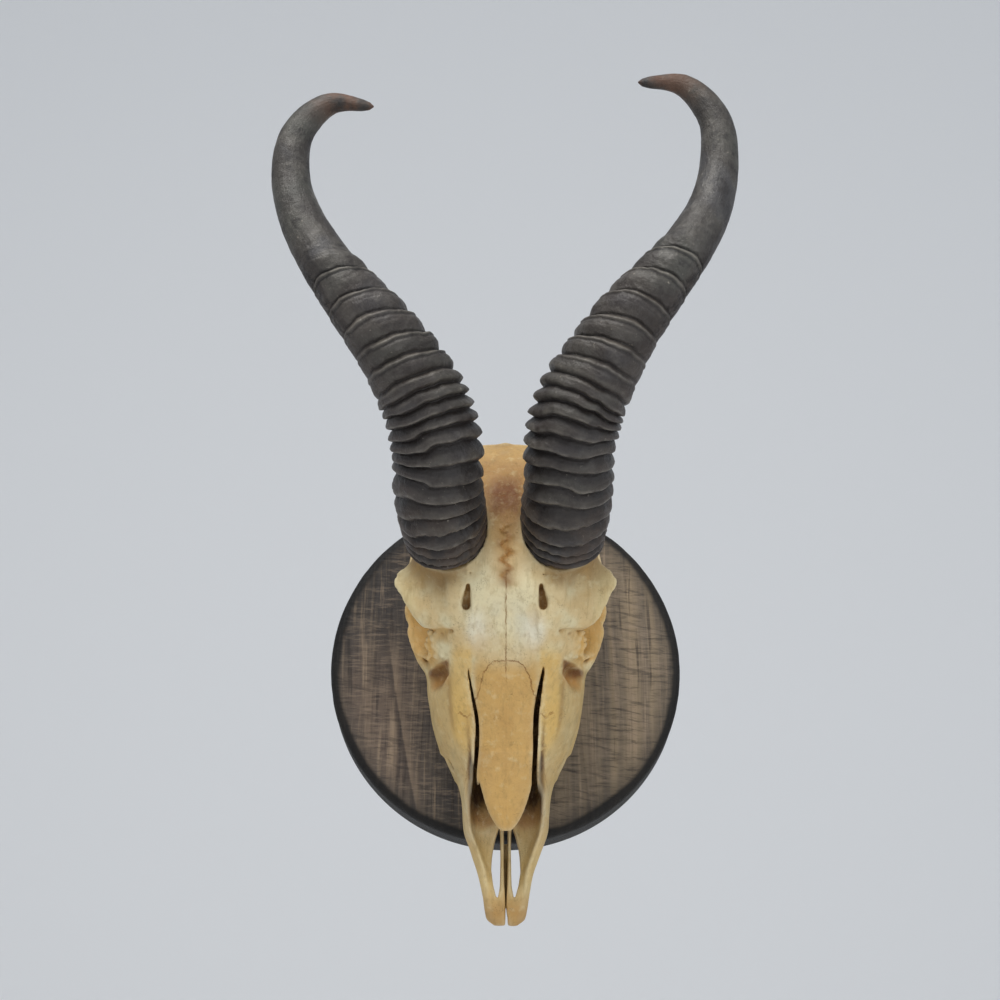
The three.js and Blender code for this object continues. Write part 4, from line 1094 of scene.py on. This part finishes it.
def horn_piece(name, path, side, grooves, length):
    shares = np.concatenate([np.linspace(0, 0.6, int(HORN_STEPS * 0.74), endpoint=False),
                             np.linspace(0.6, 0.985, int(HORN_STEPS * 0.2), endpoint=False),
                             0.985 + 0.015 * np.sin(np.linspace(0, math.pi / 2, int(HORN_STEPS * 0.06)))])
    middle, forward, out, front = horn_frames(path, side, shares)
    t = shares[:, None] + np.zeros(HORN_AROUND)
    angle = circle(HORN_AROUND) + np.zeros((len(shares), 1))
    outward, facing = np.cos(angle), np.sin(angle)
    lift, groove, crest = horn_rings(t, outward, facing, side, grooves, length)
    radius = horn_radius(shares)[:, None]
    lift = np.minimum(lift * np.clip(radius / 5, 0.05, 1), 0.5 + 60 * t)
    wide = radius + lift
    deep = radius * horn_depth(shares)[:, None] + lift
    points = middle[:, None, :] + out[:, None, :] * (wide * outward)[..., None] \
        + front[:, None, :] * (deep * facing)[..., None]
    cup = middle[0] + forward[0] * 6
    tip = middle[-1] + forward[-1] * 0.2
    mesh = mesh_from(name, to_metres(np.vstack([points.reshape(-1, 3), cup, tip])), tube_faces(*t.shape))
    scale = length / 30
    for key, parts, ends in (("ring", (groove, crest, t), [[1, 0, 0], [0, 0, 1]]),
                             ("flow", (outward, facing, t * scale), [[0, 0, 0], [0, 0, scale]])):
        set_point_data(mesh, key, np.vstack([np.stack([part.ravel() for part in parts], 1), ends]))
    turn_outward(mesh)
    mesh.shade_smooth()
    return new_object(name, mesh)


horn_right = horn_piece("ringed_horn_right", HORN_RIGHT, 1, GROOVES_RIGHT, 259.6)
horn_left = horn_piece("ringed_horn_left", HORN_LEFT, -1, GROOVES_LEFT, 251.4)

# Upper cheek teeth, front to back: name, middle z, half length along the jaw, half width, middle x
CHEEK_TEETH = [
    ("premolar_2", -51.6, 3.6, 3.0, 19.2),
    ("premolar_3", -43.0, 4.2, 4.0, 21.4),
    ("premolar_4", -34.2, 4.0, 4.8, 23.2),
    ("molar_1", -24.4, 5.2, 5.6, 24.7),
    ("molar_2", -12.4, 6.2, 6.0, 25.4),
    ("molar_3", 0.2, 5.8, 5.6, 24.8),
]
TOOTH_TOP = 12.4
TOOTH_FOOT = 0.8


# A cheek tooth: ribs outside, rounded lobes inside, crescents of enamel on the worn face
def tooth_piece(name, side, z, half_length, half_width, x, lobes):
    around, tall, inner = 84, 22, 14
    turn = circle(around)
    along = np.sign(np.cos(turn)) * np.abs(np.cos(turn)) ** 0.75
    out = np.sign(np.sin(turn)) * np.abs(np.sin(turn)) ** 0.8
    ribs = 0.17 * np.cos(along * math.pi * lobes) + 0.12 * np.cos(along * math.pi * lobes * 2)
    dents = 0.26 * np.abs(np.cos(along * math.pi * lobes / 2)) ** 6 * (lobes > 1)
    out = out + np.where(out > 0, ribs, dents) * np.abs(out)

    # How far the edge falls away between one cusp and the next
    def notch(value):
        return 1.5 * (np.cos(math.pi * value) ** 2 if lobes == 2 else np.sin(math.pi * value / 2) ** 2)

    # Rows of points down the outside, then inward over the worn face: height, size, share inward
    rows = []
    for s in np.linspace(0, 1, tall):
        size = (0.80 + 0.17 * math.sin(s * 1.75)) * (1 - max(0, s - 0.93) * 0.6)
        rows.append((TOOTH_TOP * (1 - s) + (TOOTH_FOOT + notch(along)) * s, size, 0.0))
    edge = rows[-1][1]
    rows += [(TOOTH_FOOT, edge * (1 - i / inner), i / inner) for i in range(1, inner)]
    points = []
    wear = []
    for high, size, depth in rows:
        ridge = 0
        if depth > 0:
            local = along * size / edge
            high = high + notch(local) * (1 - 0.5 * depth)
            crescent = np.abs(np.cos(local * math.pi * lobes / 2))
            ridge = 0.55 * rise(0.05, 0.16, depth) - 0.45 * bump_at(depth, 0.42, 0.09) * crescent \
                + 0.35 * bump_at(depth, 0.62, 0.12) * crescent
        sideways = (x + out * half_width * size) * side
        upward = high + ridge + np.zeros(around)
        points.append(np.stack([sideways, upward, z + along * half_length * size], 1))
        wear.append(np.full(around, rise(0.04, 0.14, depth) if depth > 0 else 0.0))
    top = points[0].mean(0) + (0, 0.05, 0)
    bottom = points[-1].mean(0)
    crown = np.vstack(points)
    crown = crown + 0.07 * noise.layered(crown, 2.2, 2)[:, None] * (1, 0.3, 1)
    mesh = mesh_from(name, to_metres(np.vstack([crown, top, bottom])), tube_faces(len(rows), around))
    set_point_data(mesh, "wear", np.concatenate([*wear, [0, 1]]))
    turn_outward(mesh)
    mesh.shade_smooth()
    return new_object(name, mesh)


teeth = []
for name, tooth_z, half_length, half_width, tooth_x in CHEEK_TEETH:
    for side, word in SIDES:
        lobes = 2 if name.startswith("molar") else 1
        piece = tooth_piece(f"crown_{name}_{word}", side, tooth_z, half_length, half_width, tooth_x, lobes)
        teeth.append((piece, f"{name}_{word}"))


# A piece turned round an axis along y from radius and height, height measured toward the wall
def turned(name, profile, around, x=0.0, z=0.0):
    profile = np.array(profile, float)
    turn = circle(around)
    inner = profile[1:-1]
    rings = np.stack([inner[:, :1] * np.cos(turn), np.repeat(inner[:, 1:], around, 1),
                      inner[:, :1] * np.sin(turn)], -1)
    points = np.vstack([rings.reshape(-1, 3), (0, profile[0, 1], 0), (0, profile[-1, 1], 0)])
    mesh = mesh_from(name, (points + (x, 0, z)) * MM, tube_faces(len(inner), around))
    turn_outward(mesh)
    return mesh


# Radius and height along an arc round a middle, by degrees from straight forward
def arc(middle, radius, first, last, count):
    turn = np.radians(np.linspace(first, last, count))
    return [(middle[0] + radius * math.sin(t), middle[1] - radius * math.cos(t)) for t in turn]


# The board, with soft dents in its edge and grain on its face
def plaque_piece():
    front = -PLAQUE_THICKNESS
    edge = 4.0
    back_edge = 1.0
    face = [(r, front) for r in np.linspace(0, PLAQUE_RADIUS - edge - 1, 46)]
    corner = arc((PLAQUE_RADIUS - edge, front + edge), edge, 0, 90, 9)
    wall = [(PLAQUE_RADIUS, y) for y in np.linspace(front + edge + 1, -back_edge - 1, 9)]
    back = arc((PLAQUE_RADIUS - back_edge, -back_edge), back_edge, 90, 180, 4)
    rear = [(r, 0) for r in np.linspace(PLAQUE_RADIUS - 3, 0, 14)]
    mesh = turned("plaque_board", face + corner + wall + back + rear, 216)
    co = read_points(mesh) * 1000
    radius = np.hypot(co[:, 0], co[:, 2])
    rim = rise(PLAQUE_RADIUS - 6, PLAQUE_RADIUS - 2, radius) * (co[:, 1] < -1.5)
    dents = noise.layered(co, 12, 2) * 0.22 + noise(co, 4) * 0.10
    flat = np.abs(co[:, 1] - front) < 0.01
    lift = rim * dents + flat * noise.layered(co * (1, 1, 0.15), 2.6, 2) * 0.07
    lift = np.minimum(lift, 0.05) * (co[:, 1] < -1)
    move_points(mesh, (co + read_points(mesh, "normal") * lift[:, None]) * MM)
    return new_object("plaque_board", mesh)


# An object from a shape that is still being edited
def object_from(name, shape):
    bmesh.ops.recalc_face_normals(shape, faces=shape.faces[:])
    mesh = bpy.data.meshes.new(name)
    shape.to_mesh(mesh)
    shape.free()
    return new_object(name, mesh)


# A stadium-shaped cutter let into the back of the board
def slot_cutter(name, length, width, z, depth):
    turn = np.linspace(-math.pi / 2, math.pi / 2, 12)
    half = length / 2 - width / 2
    right = [(half + width / 2 * math.cos(t), width / 2 * math.sin(t)) for t in turn]
    outline = right + [(-a, -b) for a, b in right]
    n = len(outline)
    shape = bmesh.new()
    verts = [shape.verts.new([c * MM for c in (a, y, z + b)]) for y in (-depth, 2) for a, b in outline]
    shape.faces.new(verts[:n])
    shape.faces.new(verts[n:][::-1])
    for i in range(n):
        j = (i + 1) % n
        shape.faces.new([verts[i], verts[n + i], verts[n + j], verts[j]])
    return object_from(name, shape)


# One blade of the crossed recess in the screw's head
def cross_cutter(name, size_x, size_z):
    shape = bmesh.new()
    bmesh.ops.create_cone(shape, cap_ends=True, segments=4, radius1=0.4, radius2=1.0, depth=3.0)
    for v in shape.verts:
        v.co = Vector((v.co.x * size_x, v.co.z - 1.1, v.co.y * size_z + SCREW_HEIGHT)) * MM
    return object_from(name, shape)


def cut_out(obj, cutters):
    for cutter in cutters:
        step = obj.modifiers.new("cut", "BOOLEAN")
        step.operation = "DIFFERENCE"
        step.solver = "EXACT"
        step.object = cutter
    mesh = carried_out(obj)
    obj.modifiers.clear()
    obj.data = mesh
    for cutter in cutters:
        bpy.data.objects.remove(cutter)


# A turned piece as an object of its own
def turned_object(name, profile, around, x, z):
    return new_object(name, turned(name, profile, around, x, z))


plaque = plaque_piece()
screw_room = [(0, -23), (2.5, -23), (2.5, -2.8), (4.7, -0.6), (4.7, 1), (0, 1)]
nail_hole = [(0, -13), (0.9, -13), (0.9, 1), (0, 1)]
cutters = [slot_cutter("recess", 48, 13, HANGER_HEIGHT, 2.3),
           slot_cutter("nail_room", 24, 9, HANGER_HEIGHT - 1, 7),
           turned_object("screw_room", screw_room, 32, 0, SCREW_HEIGHT)]
for side, word in SIDES:
    cutters.append(turned_object("nail_hole", nail_hole, 16, side * NAIL_SPACING / 2, HANGER_HEIGHT))
cut_out(plaque, cutters)

# Countersunk screw with a thread and a crossed recess
screw_profile = [(0, -52), (0.3, -51.4), (1.0, -49), (1.9, -45.4)]
for y in np.arange(26) * 0.8 - 45:
    screw_profile += [(1.55, y), (1.98, y + 0.34), (1.98, y + 0.44), (1.55, y + 0.78)]
screw_profile += [(1.7, -23.9), (1.7, -3.2), (2.0, -2.8), (4.1, -0.75), (4.2, -0.62), (4.1, -0.6), (0, -0.6)]
screw = turned_object("wood_screw", screw_profile, 40, 0, SCREW_HEIGHT)
cut_out(screw, [cross_cutter("cross_a", 4.6, 0.95), cross_cutter("cross_b", 0.95, 4.6)])
for obj in (plaque, screw):
    obj.data.shade_smooth()
    obj.data.set_sharp_from_angle(angle=0.7)

nail_profile = [(0, -12), (0.2, -11.6), (0.58, -10.6), (0.58, -0.7), (0.6, -0.66), (1.7, -0.64),
                (1.88, -0.5), (1.85, -0.3), (1.5, -0.16), (0.8, -0.1), (0, -0.09)]
nails = []
for side, word in SIDES:
    nail = turned_object(f"tack_{word}", nail_profile, 28, side * NAIL_SPACING / 2, HANGER_HEIGHT)
    nail.data.shade_smooth()
    nails.append((nail, f"hanger_nail_{word}"))


# Materials. A value in a node tree that can be added, subtracted, multiplied and ramped.
class Value:
    def __init__(self, nodes, socket):
        self.nodes = nodes
        self.socket = socket

    def __add__(self, other):
        return self.nodes.math("ADD", self, other)

    def __sub__(self, other):
        return self.nodes.math("SUBTRACT", self, other)

    def __rsub__(self, other):
        return self.nodes.math("SUBTRACT", other, self)

    def __mul__(self, other):
        return self.nodes.math("MULTIPLY", self, other)

    def ramp(self, low, high, to_low=0.0, to_high=1.0):
        inputs = {"Value": self, "From Min": low, "From Max": high, "To Min": to_low, "To Max": to_high}
        return self.nodes.make("ShaderNodeMapRange", inputs, interpolation_type="SMOOTHSTEP")


def colour(code):
    return (*[float(v) for v in srgb(code)], 1.0)


# The node tree of one material, with the tone that it is building up
class Nodes:
    def __init__(self, name):
        self.material = bpy.data.materials.new(name)
        self.material.use_nodes = True
        self.tree = self.material.node_tree
        self.tree.nodes.clear()
        self.place = self.make("ShaderNodeTexCoord", {}, "Object")
        self.tone = None

    def make(self, kind, inputs, output=0, **settings):
        node = self.tree.nodes.new(kind)
        for key, value in settings.items():
            setattr(node, key, value)
        for key, value in inputs.items():
            if isinstance(value, Value):
                self.tree.links.new(value.socket, node.inputs[key])
            else:
                node.inputs[key].default_value = value
        return Value(self, node.outputs[output])

    def math(self, operation, *values):
        return self.make("ShaderNodeMath", dict(enumerate(values)), operation=operation)

    def data(self, name, output="Vector"):
        return self.make("ShaderNodeAttribute", {}, output, attribute_name=name)

    def split(self, vector):
        first = self.make("ShaderNodeSeparateXYZ", {0: vector})
        return [Value(self, socket) for socket in first.socket.node.outputs]

    def join(self, *parts):
        return self.make("ShaderNodeCombineXYZ", dict(enumerate(parts)))

    def noise(self, scale, detail, roughness, stretch=None, at=None):
        vector = at or self.place
        if stretch:
            vector = self.make("ShaderNodeVectorMath", {0: vector, 1: stretch}, operation="MULTIPLY")
        inputs = {"Vector": vector, "Scale": scale, "Detail": detail, "Roughness": roughness}
        return self.make("ShaderNodeTexNoise", inputs, "Fac")

    def cells(self, scale):
        return self.make("ShaderNodeTexVoronoi", {"Vector": self.place, "Scale": scale}, "Distance")

    def mix(self, weight, a, b):
        a, b = (colour(v) if isinstance(v, str) else v for v in (a, b))
        return self.make("ShaderNodeMix", {0: weight, 6: a, 7: b}, 2, data_type="RGBA")

    # Mixes a colour over the tone so far
    def wash(self, weight, over):
        self.tone = self.mix(weight, self.tone, over)

    # Washes that grow with a value: the value, where it starts and ends, the most it covers, colour
    def washes(self, *rows):
        for value, low, high, most, code in rows:
            self.wash(value.ramp(low, high, 0.0, most), code)

    # A thin line where a signed distance in millimetres passes through zero
    def line(self, distance, width, strength):
        return self.math("ABSOLUTE", distance).ramp(0.35 * width, width, 1.0, 0.0) * strength

    def finish(self, roughness, height, distance, **values):
        bump = self.make("ShaderNodeBump", {"Distance": distance, "Height": height})
        inputs = {"Base Color": self.tone, "Roughness": roughness, "Normal": bump}
        inputs.update({key.replace("_", " "): value for key, value in values.items()})
        shader = self.make("ShaderNodeBsdfPrincipled", inputs)
        out = self.tree.nodes.new("ShaderNodeOutputMaterial")
        self.tree.links.new(shader.socket, out.inputs[0])
        return self.material


def bone_material():
    n = Nodes("weathered_bone")
    n.tone = n.data("tone", "Color")
    lines = n.split(n.data("lines_a")) + n.split(n.data("lines_b"))
    shows = n.split(n.data("shows_a")) + n.split(n.data("shows_b"))
    fine = n.noise(900, 4, 0.65)
    small = n.noise(260, 5, 0.6)
    broad = n.noise(70, 4, 0.6)
    grain = n.noise(520, 3, 0.6, (1.0, 1.0, 0.16))
    n.washes((broad, 0.44, 0.68, 0.35, "c09a5a"), (small, 0.52, 0.74, 0.25, "e4d8b0"),
             (small, 0.48, 0.3, 0.22, "9a7a44"), (grain, 0.5, 0.66, 0.22, "8f7746"))
    # The sutures zigzag and fade in and out
    zig = (n.noise(420, 2, 0.5) - 0.5) * 1.9
    zag = (n.noise(900, 2, 0.6, (1.6, 1.6, 1.0)) - 0.5) * 1.5
    wander = zig + zag
    sutures = n.line(lines[0] + wander * 0.45, 0.34, shows[0])
    for offset, shown in zip(lines[1:5], shows[1:5]):
        sutures = n.math("MAXIMUM", sutures, n.line(offset + wander, 0.36, shown))
    sutures = sutures * n.noise(330, 2, 0.5).ramp(0.34, 0.54, 0.4)
    crust = shows[5] * small.ramp(0.4, 0.62)
    n.wash(crust * 0.55, "8a5a24")
    n.wash(sutures * 0.62, "8f5818")
    pores = n.cells(1500).ramp(0.12, 0.3, 1.0, 0.0) * n.noise(160, 3, 0.6).ramp(0.5, 0.66)
    n.wash(pores * 0.45, "6e5127")
    height = fine * 0.35 + small * 0.8 + grain * 0.35 - sutures * 0.5 - pores * 0.4 + crust * 0.8
    return n.finish(small.ramp(0.3, 0.7, 0.5, 0.72), height, 0.0007, Specular_IOR_Level=0.35)


def horn_material():
    n = Nodes("ringed_horn")
    groove, crest, share = n.split(n.data("ring"))
    flow = n.data("flow")
    outward = n.split(flow)[0]
    streak = n.noise(24, 4, 0.6, (1.0, 1.0, 0.2), flow)
    mottle = n.noise(120, 5, 0.65)
    patch = n.noise(75, 4, 0.6)
    tint = n.noise(38, 2, 0.5)
    speck = n.noise(620, 4, 0.65)
    scurf = n.noise(330, 5, 0.7)
    n.tone = n.mix(patch.ramp(0.36, 0.66), "302b27", "4a4640")
    n.washes((tint, 0.5, 0.66, 0.4, "41433c"), (tint, 0.46, 0.34, 0.35, "3f4045"),
             (mottle, 0.52, 0.68, 0.6, "5d5953"), (mottle, 0.48, 0.34, 0.75, "1f1b19"),
             (streak, 0.54, 0.76, 0.15, "6b665d"), (scurf, 0.5, 0.68, 0.35, "2b2623"))
    n.wash(outward.ramp(0.1, 0.85) * share.ramp(0.74, 0.5) * 0.6, "3b3029")
    # Dark scales on the outer side, halfway along
    scales = share.ramp(0.38, 0.46) * share.ramp(0.62, 0.56) * outward.ramp(0.3, 0.7) * scurf.ramp(0.46, 0.56)
    n.wash(scales * 0.85, "1d1512")
    # Painted shade in the grooves, the recesses of the bands and under the ridges
    n.wash(groove * 0.94, "0b0908")
    # Painted highlight on the ring crests
    n.wash(crest * mottle.ramp(0.36, 0.6, 0.25, 0.8), "857f74")
    # Rusty near the tip, brown at the base
    n.wash(share.ramp(0.84, 0.96) * patch.ramp(0.38, 0.6) * 0.75, "5f3d28")
    n.wash(share.ramp(0.16, 0.0) * patch.ramp(0.42, 0.62) * 0.5, "54402f")
    n.wash(share.ramp(0.56, 0.46) * 0.3, "3a2f29")
    n.wash(speck.ramp(0.64, 0.72) * patch.ramp(0.45, 0.6) * 0.6, "9b9284")
    height = scurf * 0.9 + speck * 0.3 + streak * 0.2 - scales * 0.9
    return n.finish(mottle.ramp(0.3, 0.7, 0.55, 0.4), height, 0.0007, Specular_IOR_Level=0.45)


def tooth_material():
    n = Nodes("tooth_enamel")
    wear = n.data("wear", "Fac")
    depth = n.split(n.place)[1]
    streak = n.noise(700, 4, 0.6, (1.0, 0.2, 1.0))
    patch = n.noise(240, 3, 0.6)
    n.tone = n.mix(streak.ramp(0.35, 0.7), "cdbb8e", "e4dcc0")
    n.washes((patch, 0.45, 0.7, 0.6, "8c6c3c"))
    n.wash(depth.ramp(-0.0305, -0.0345) * 0.6, "6e4d26")
    n.wash(wear * 0.5, "9a7a48")
    rough = streak.ramp(0.3, 0.7, 0.28, 0.42)
    return n.finish(rough, streak * 0.8 + patch * 0.4, 0.0003, Specular_IOR_Level=0.5)


def wood_material():
    n = Nodes("stained_wood")
    x, y, z = n.split(n.place)
    bend = (n.noise(14, 2, 0.5, (1, 1, 0.4)) - 0.5) * 0.016
    along = n.join(x + bend, y, z * 0.03)
    bands = n.noise(95, 3, 0.6, at=along)
    fibre = n.noise(620, 4, 0.68, at=along)
    streaks = n.noise(330, 4, 0.6, (1.0, 1.0, 1.6), along)
    hatch = n.noise(800, 4, 0.65, (0.13, 1.0, 1.0))
    scratch = n.noise(520, 4, 0.7, at=n.join(x * 0.1, y, x * 0.22 + z))
    patch = n.noise(26, 3, 0.55)
    n.tone = n.mix(bands.ramp(0.36, 0.64), "45403d", "625950")
    # Paler to the right and low on the left
    n.washes((patch, 0.42, 0.64, 0.7, "403e3f"), (x, -0.005, -0.03, 0.35, "2b2827"))
    n.wash(x.ramp(-0.02, 0.05) * bands.ramp(0.4, 0.62, 0.3, 0.75), "9a876c")
    n.wash(x.ramp(-0.03, -0.055) * z.ramp(0.03, -0.02) * 0.4, "8a7563")
    n.washes((streaks, 0.54, 0.7, 0.65, "9c8871"), (streaks, 0.46, 0.33, 0.7, "302b29"),
             (fibre, 0.5, 0.7, 0.3, "8d7c68"), (hatch, 0.5, 0.66, 0.35, "958370"),
             (hatch, 0.47, 0.33, 0.5, "2f2a28"), (scratch, 0.46, 0.34, 0.5, "35302d"))
    # Three long grain lines, bright on one side and dark on the other
    curve = z * z * 0.5
    lower_half = z.ramp(0.03, -0.01)
    for start, slope, strength in ((-0.0536, -0.15, 0.6), (0.0335, -0.05, 0.3), (-0.0675, -0.03, 0.2)):
        away = (x + bend * 0.1 - (curve + start + z * slope)) * 1000.0
        bright = away.ramp(5.0, 0.6) * away.ramp(-0.1, 0.8, 0.0, strength * 0.7)
        n.wash(bright * lower_half, "857462")
        dim = away.ramp(-4.0, -0.4) * away.ramp(0.5, -0.4, 0.0, strength)
        n.wash(dim * lower_half, "37312f")
    # Black edge, and bare wood on the back
    radius = n.math("SQRT", x * x + z * z) + (patch - 0.5) * 0.004
    dark = n.math("MAXIMUM", radius.ramp(0.0772, 0.0795), 1.0 - y.ramp(-0.004, -0.006))
    n.washes((radius, 0.070, 0.0785, 0.5, "35322f"))
    n.wash(dark * 0.93, n.mix(fibre.ramp(0.5, 0.85), "080707", "1a1715"))
    n.wash(y.ramp(-0.0008, -0.0002) * 0.85, n.mix(bands.ramp(0.3, 0.7), "7a5f42", "9a7c58"))
    height = fibre * 0.6 + streaks * 0.6 + hatch * 0.5 + scratch * 0.5
    rough = n.mix(dark, bands.ramp(0.3, 0.7, 0.62, 0.8), (0.58, 0.58, 0.58, 1.0))
    return n.finish(rough, height, 0.0006, Specular_IOR_Level=0.25)


def steel_material():
    n = Nodes("zinc_plated_steel")
    brush = n.noise(2600, 3, 0.6, (0.12, 1.0, 1.0))
    patch = n.noise(420, 4, 0.6)
    n.tone = n.mix(brush.ramp(0.3, 0.7), "8e8e8c", "bdbcb8")
    n.washes((patch, 0.56, 0.72, 0.7, "6d5a45"))
    return n.finish(patch.ramp(0.35, 0.7, 0.28, 0.5), brush + patch, 0.0001, Metallic=1.0)


bone, horn = bone_material(), horn_material()
enamel, wood, steel = tooth_material(), wood_material(), steel_material()

finish_piece(skull, bone, "bone", "skull")
finish_piece(horn_right, horn, "horn", "horn_right")
finish_piece(horn_left, horn, "horn", "horn_left")
for piece, node in teeth:
    finish_piece(piece, enamel, "tooth", node)
finish_piece(plaque, wood, "wood", "plaque")
finish_piece(screw, steel, "fixing_steel", "mounting_screw")
for piece, node in nails:
    finish_piece(piece, steel, "fixing_steel", node)
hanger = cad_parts["hanger"]
hanger.data.materials.clear()
hanger.data.materials.append(steel)


# Plain pale floor and backdrop, soft light from above and in front
def flat_square(name, size, place, turn):
    mesh = bpy.data.meshes.new(name)
    half = size / 2
    corners = [(-half, -half, 0), (half, -half, 0), (half, half, 0), (-half, half, 0)]
    mesh.from_pydata(corners, [], [(0, 1, 2, 3)])
    obj = new_object(name, mesh)
    obj.location = place
    obj.rotation_euler = turn
    return obj


stage_tone = bpy.data.materials.new("studio_paper")
stage_tone.use_nodes = True
paper = stage_tone.node_tree.nodes["Principled BSDF"].inputs
paper["Base Color"].default_value = (0.82, 0.82, 0.82, 1)
paper["Roughness"].default_value = 0.9
floor = flat_square("studio_floor", 12, (0, 0, -0.6), (0, 0, 0))
backdrop = flat_square("studio_backdrop", 12, (0, 2.2, 2.0), (math.radians(90), 0, 0))
for obj in (floor, backdrop):
    obj.data.materials.append(stage_tone)

world = bpy.data.worlds.new("soft_daylight")
bpy.context.scene.world = world
world.use_nodes = True
sky = world.node_tree.nodes["Background"].inputs
sky["Color"].default_value = (0.86, 0.92, 1.0, 1)
sky["Strength"].default_value = 0.55


def soft_light(name, place, target, size, power, colour):
    light = bpy.data.lights.new(name, "AREA")
    light.shape = "SQUARE"
    light.size = size
    light.energy = power
    light.color = colour
    obj = bpy.data.objects.new(name, light)
    bpy.context.scene.collection.objects.link(obj)
    obj.location = place
    aim = Vector(target) - Vector(place)
    obj.rotation_euler = aim.to_track_quat("-Z", "Y").to_euler()
    return obj


soft_light("key", (-0.35, -1.0, 1.35), (0, -0.05, 0.02), 0.9, 26, (1.0, 0.98, 0.95))
soft_light("fill", (1.1, -1.3, 0.2), (0, -0.05, 0.02), 1.2, 7, (0.92, 0.96, 1.0))

# The camera fitted to the photograph, about a metre in front and looking up
LOOKS_UP = 18.54
camera_data = bpy.data.cameras.new("camera")
camera_data.lens = 76.15
camera_data.sensor_width = 36
camera = bpy.data.objects.new("camera", camera_data)
bpy.context.scene.collection.objects.link(camera)
camera.location = (-0.0026, -0.9923, -0.2419)
camera.rotation_euler = (math.radians(90 + LOOKS_UP), 0, 0)
bpy.context.scene.camera = camera
bpy.context.scene.view_settings.view_transform = "Standard"
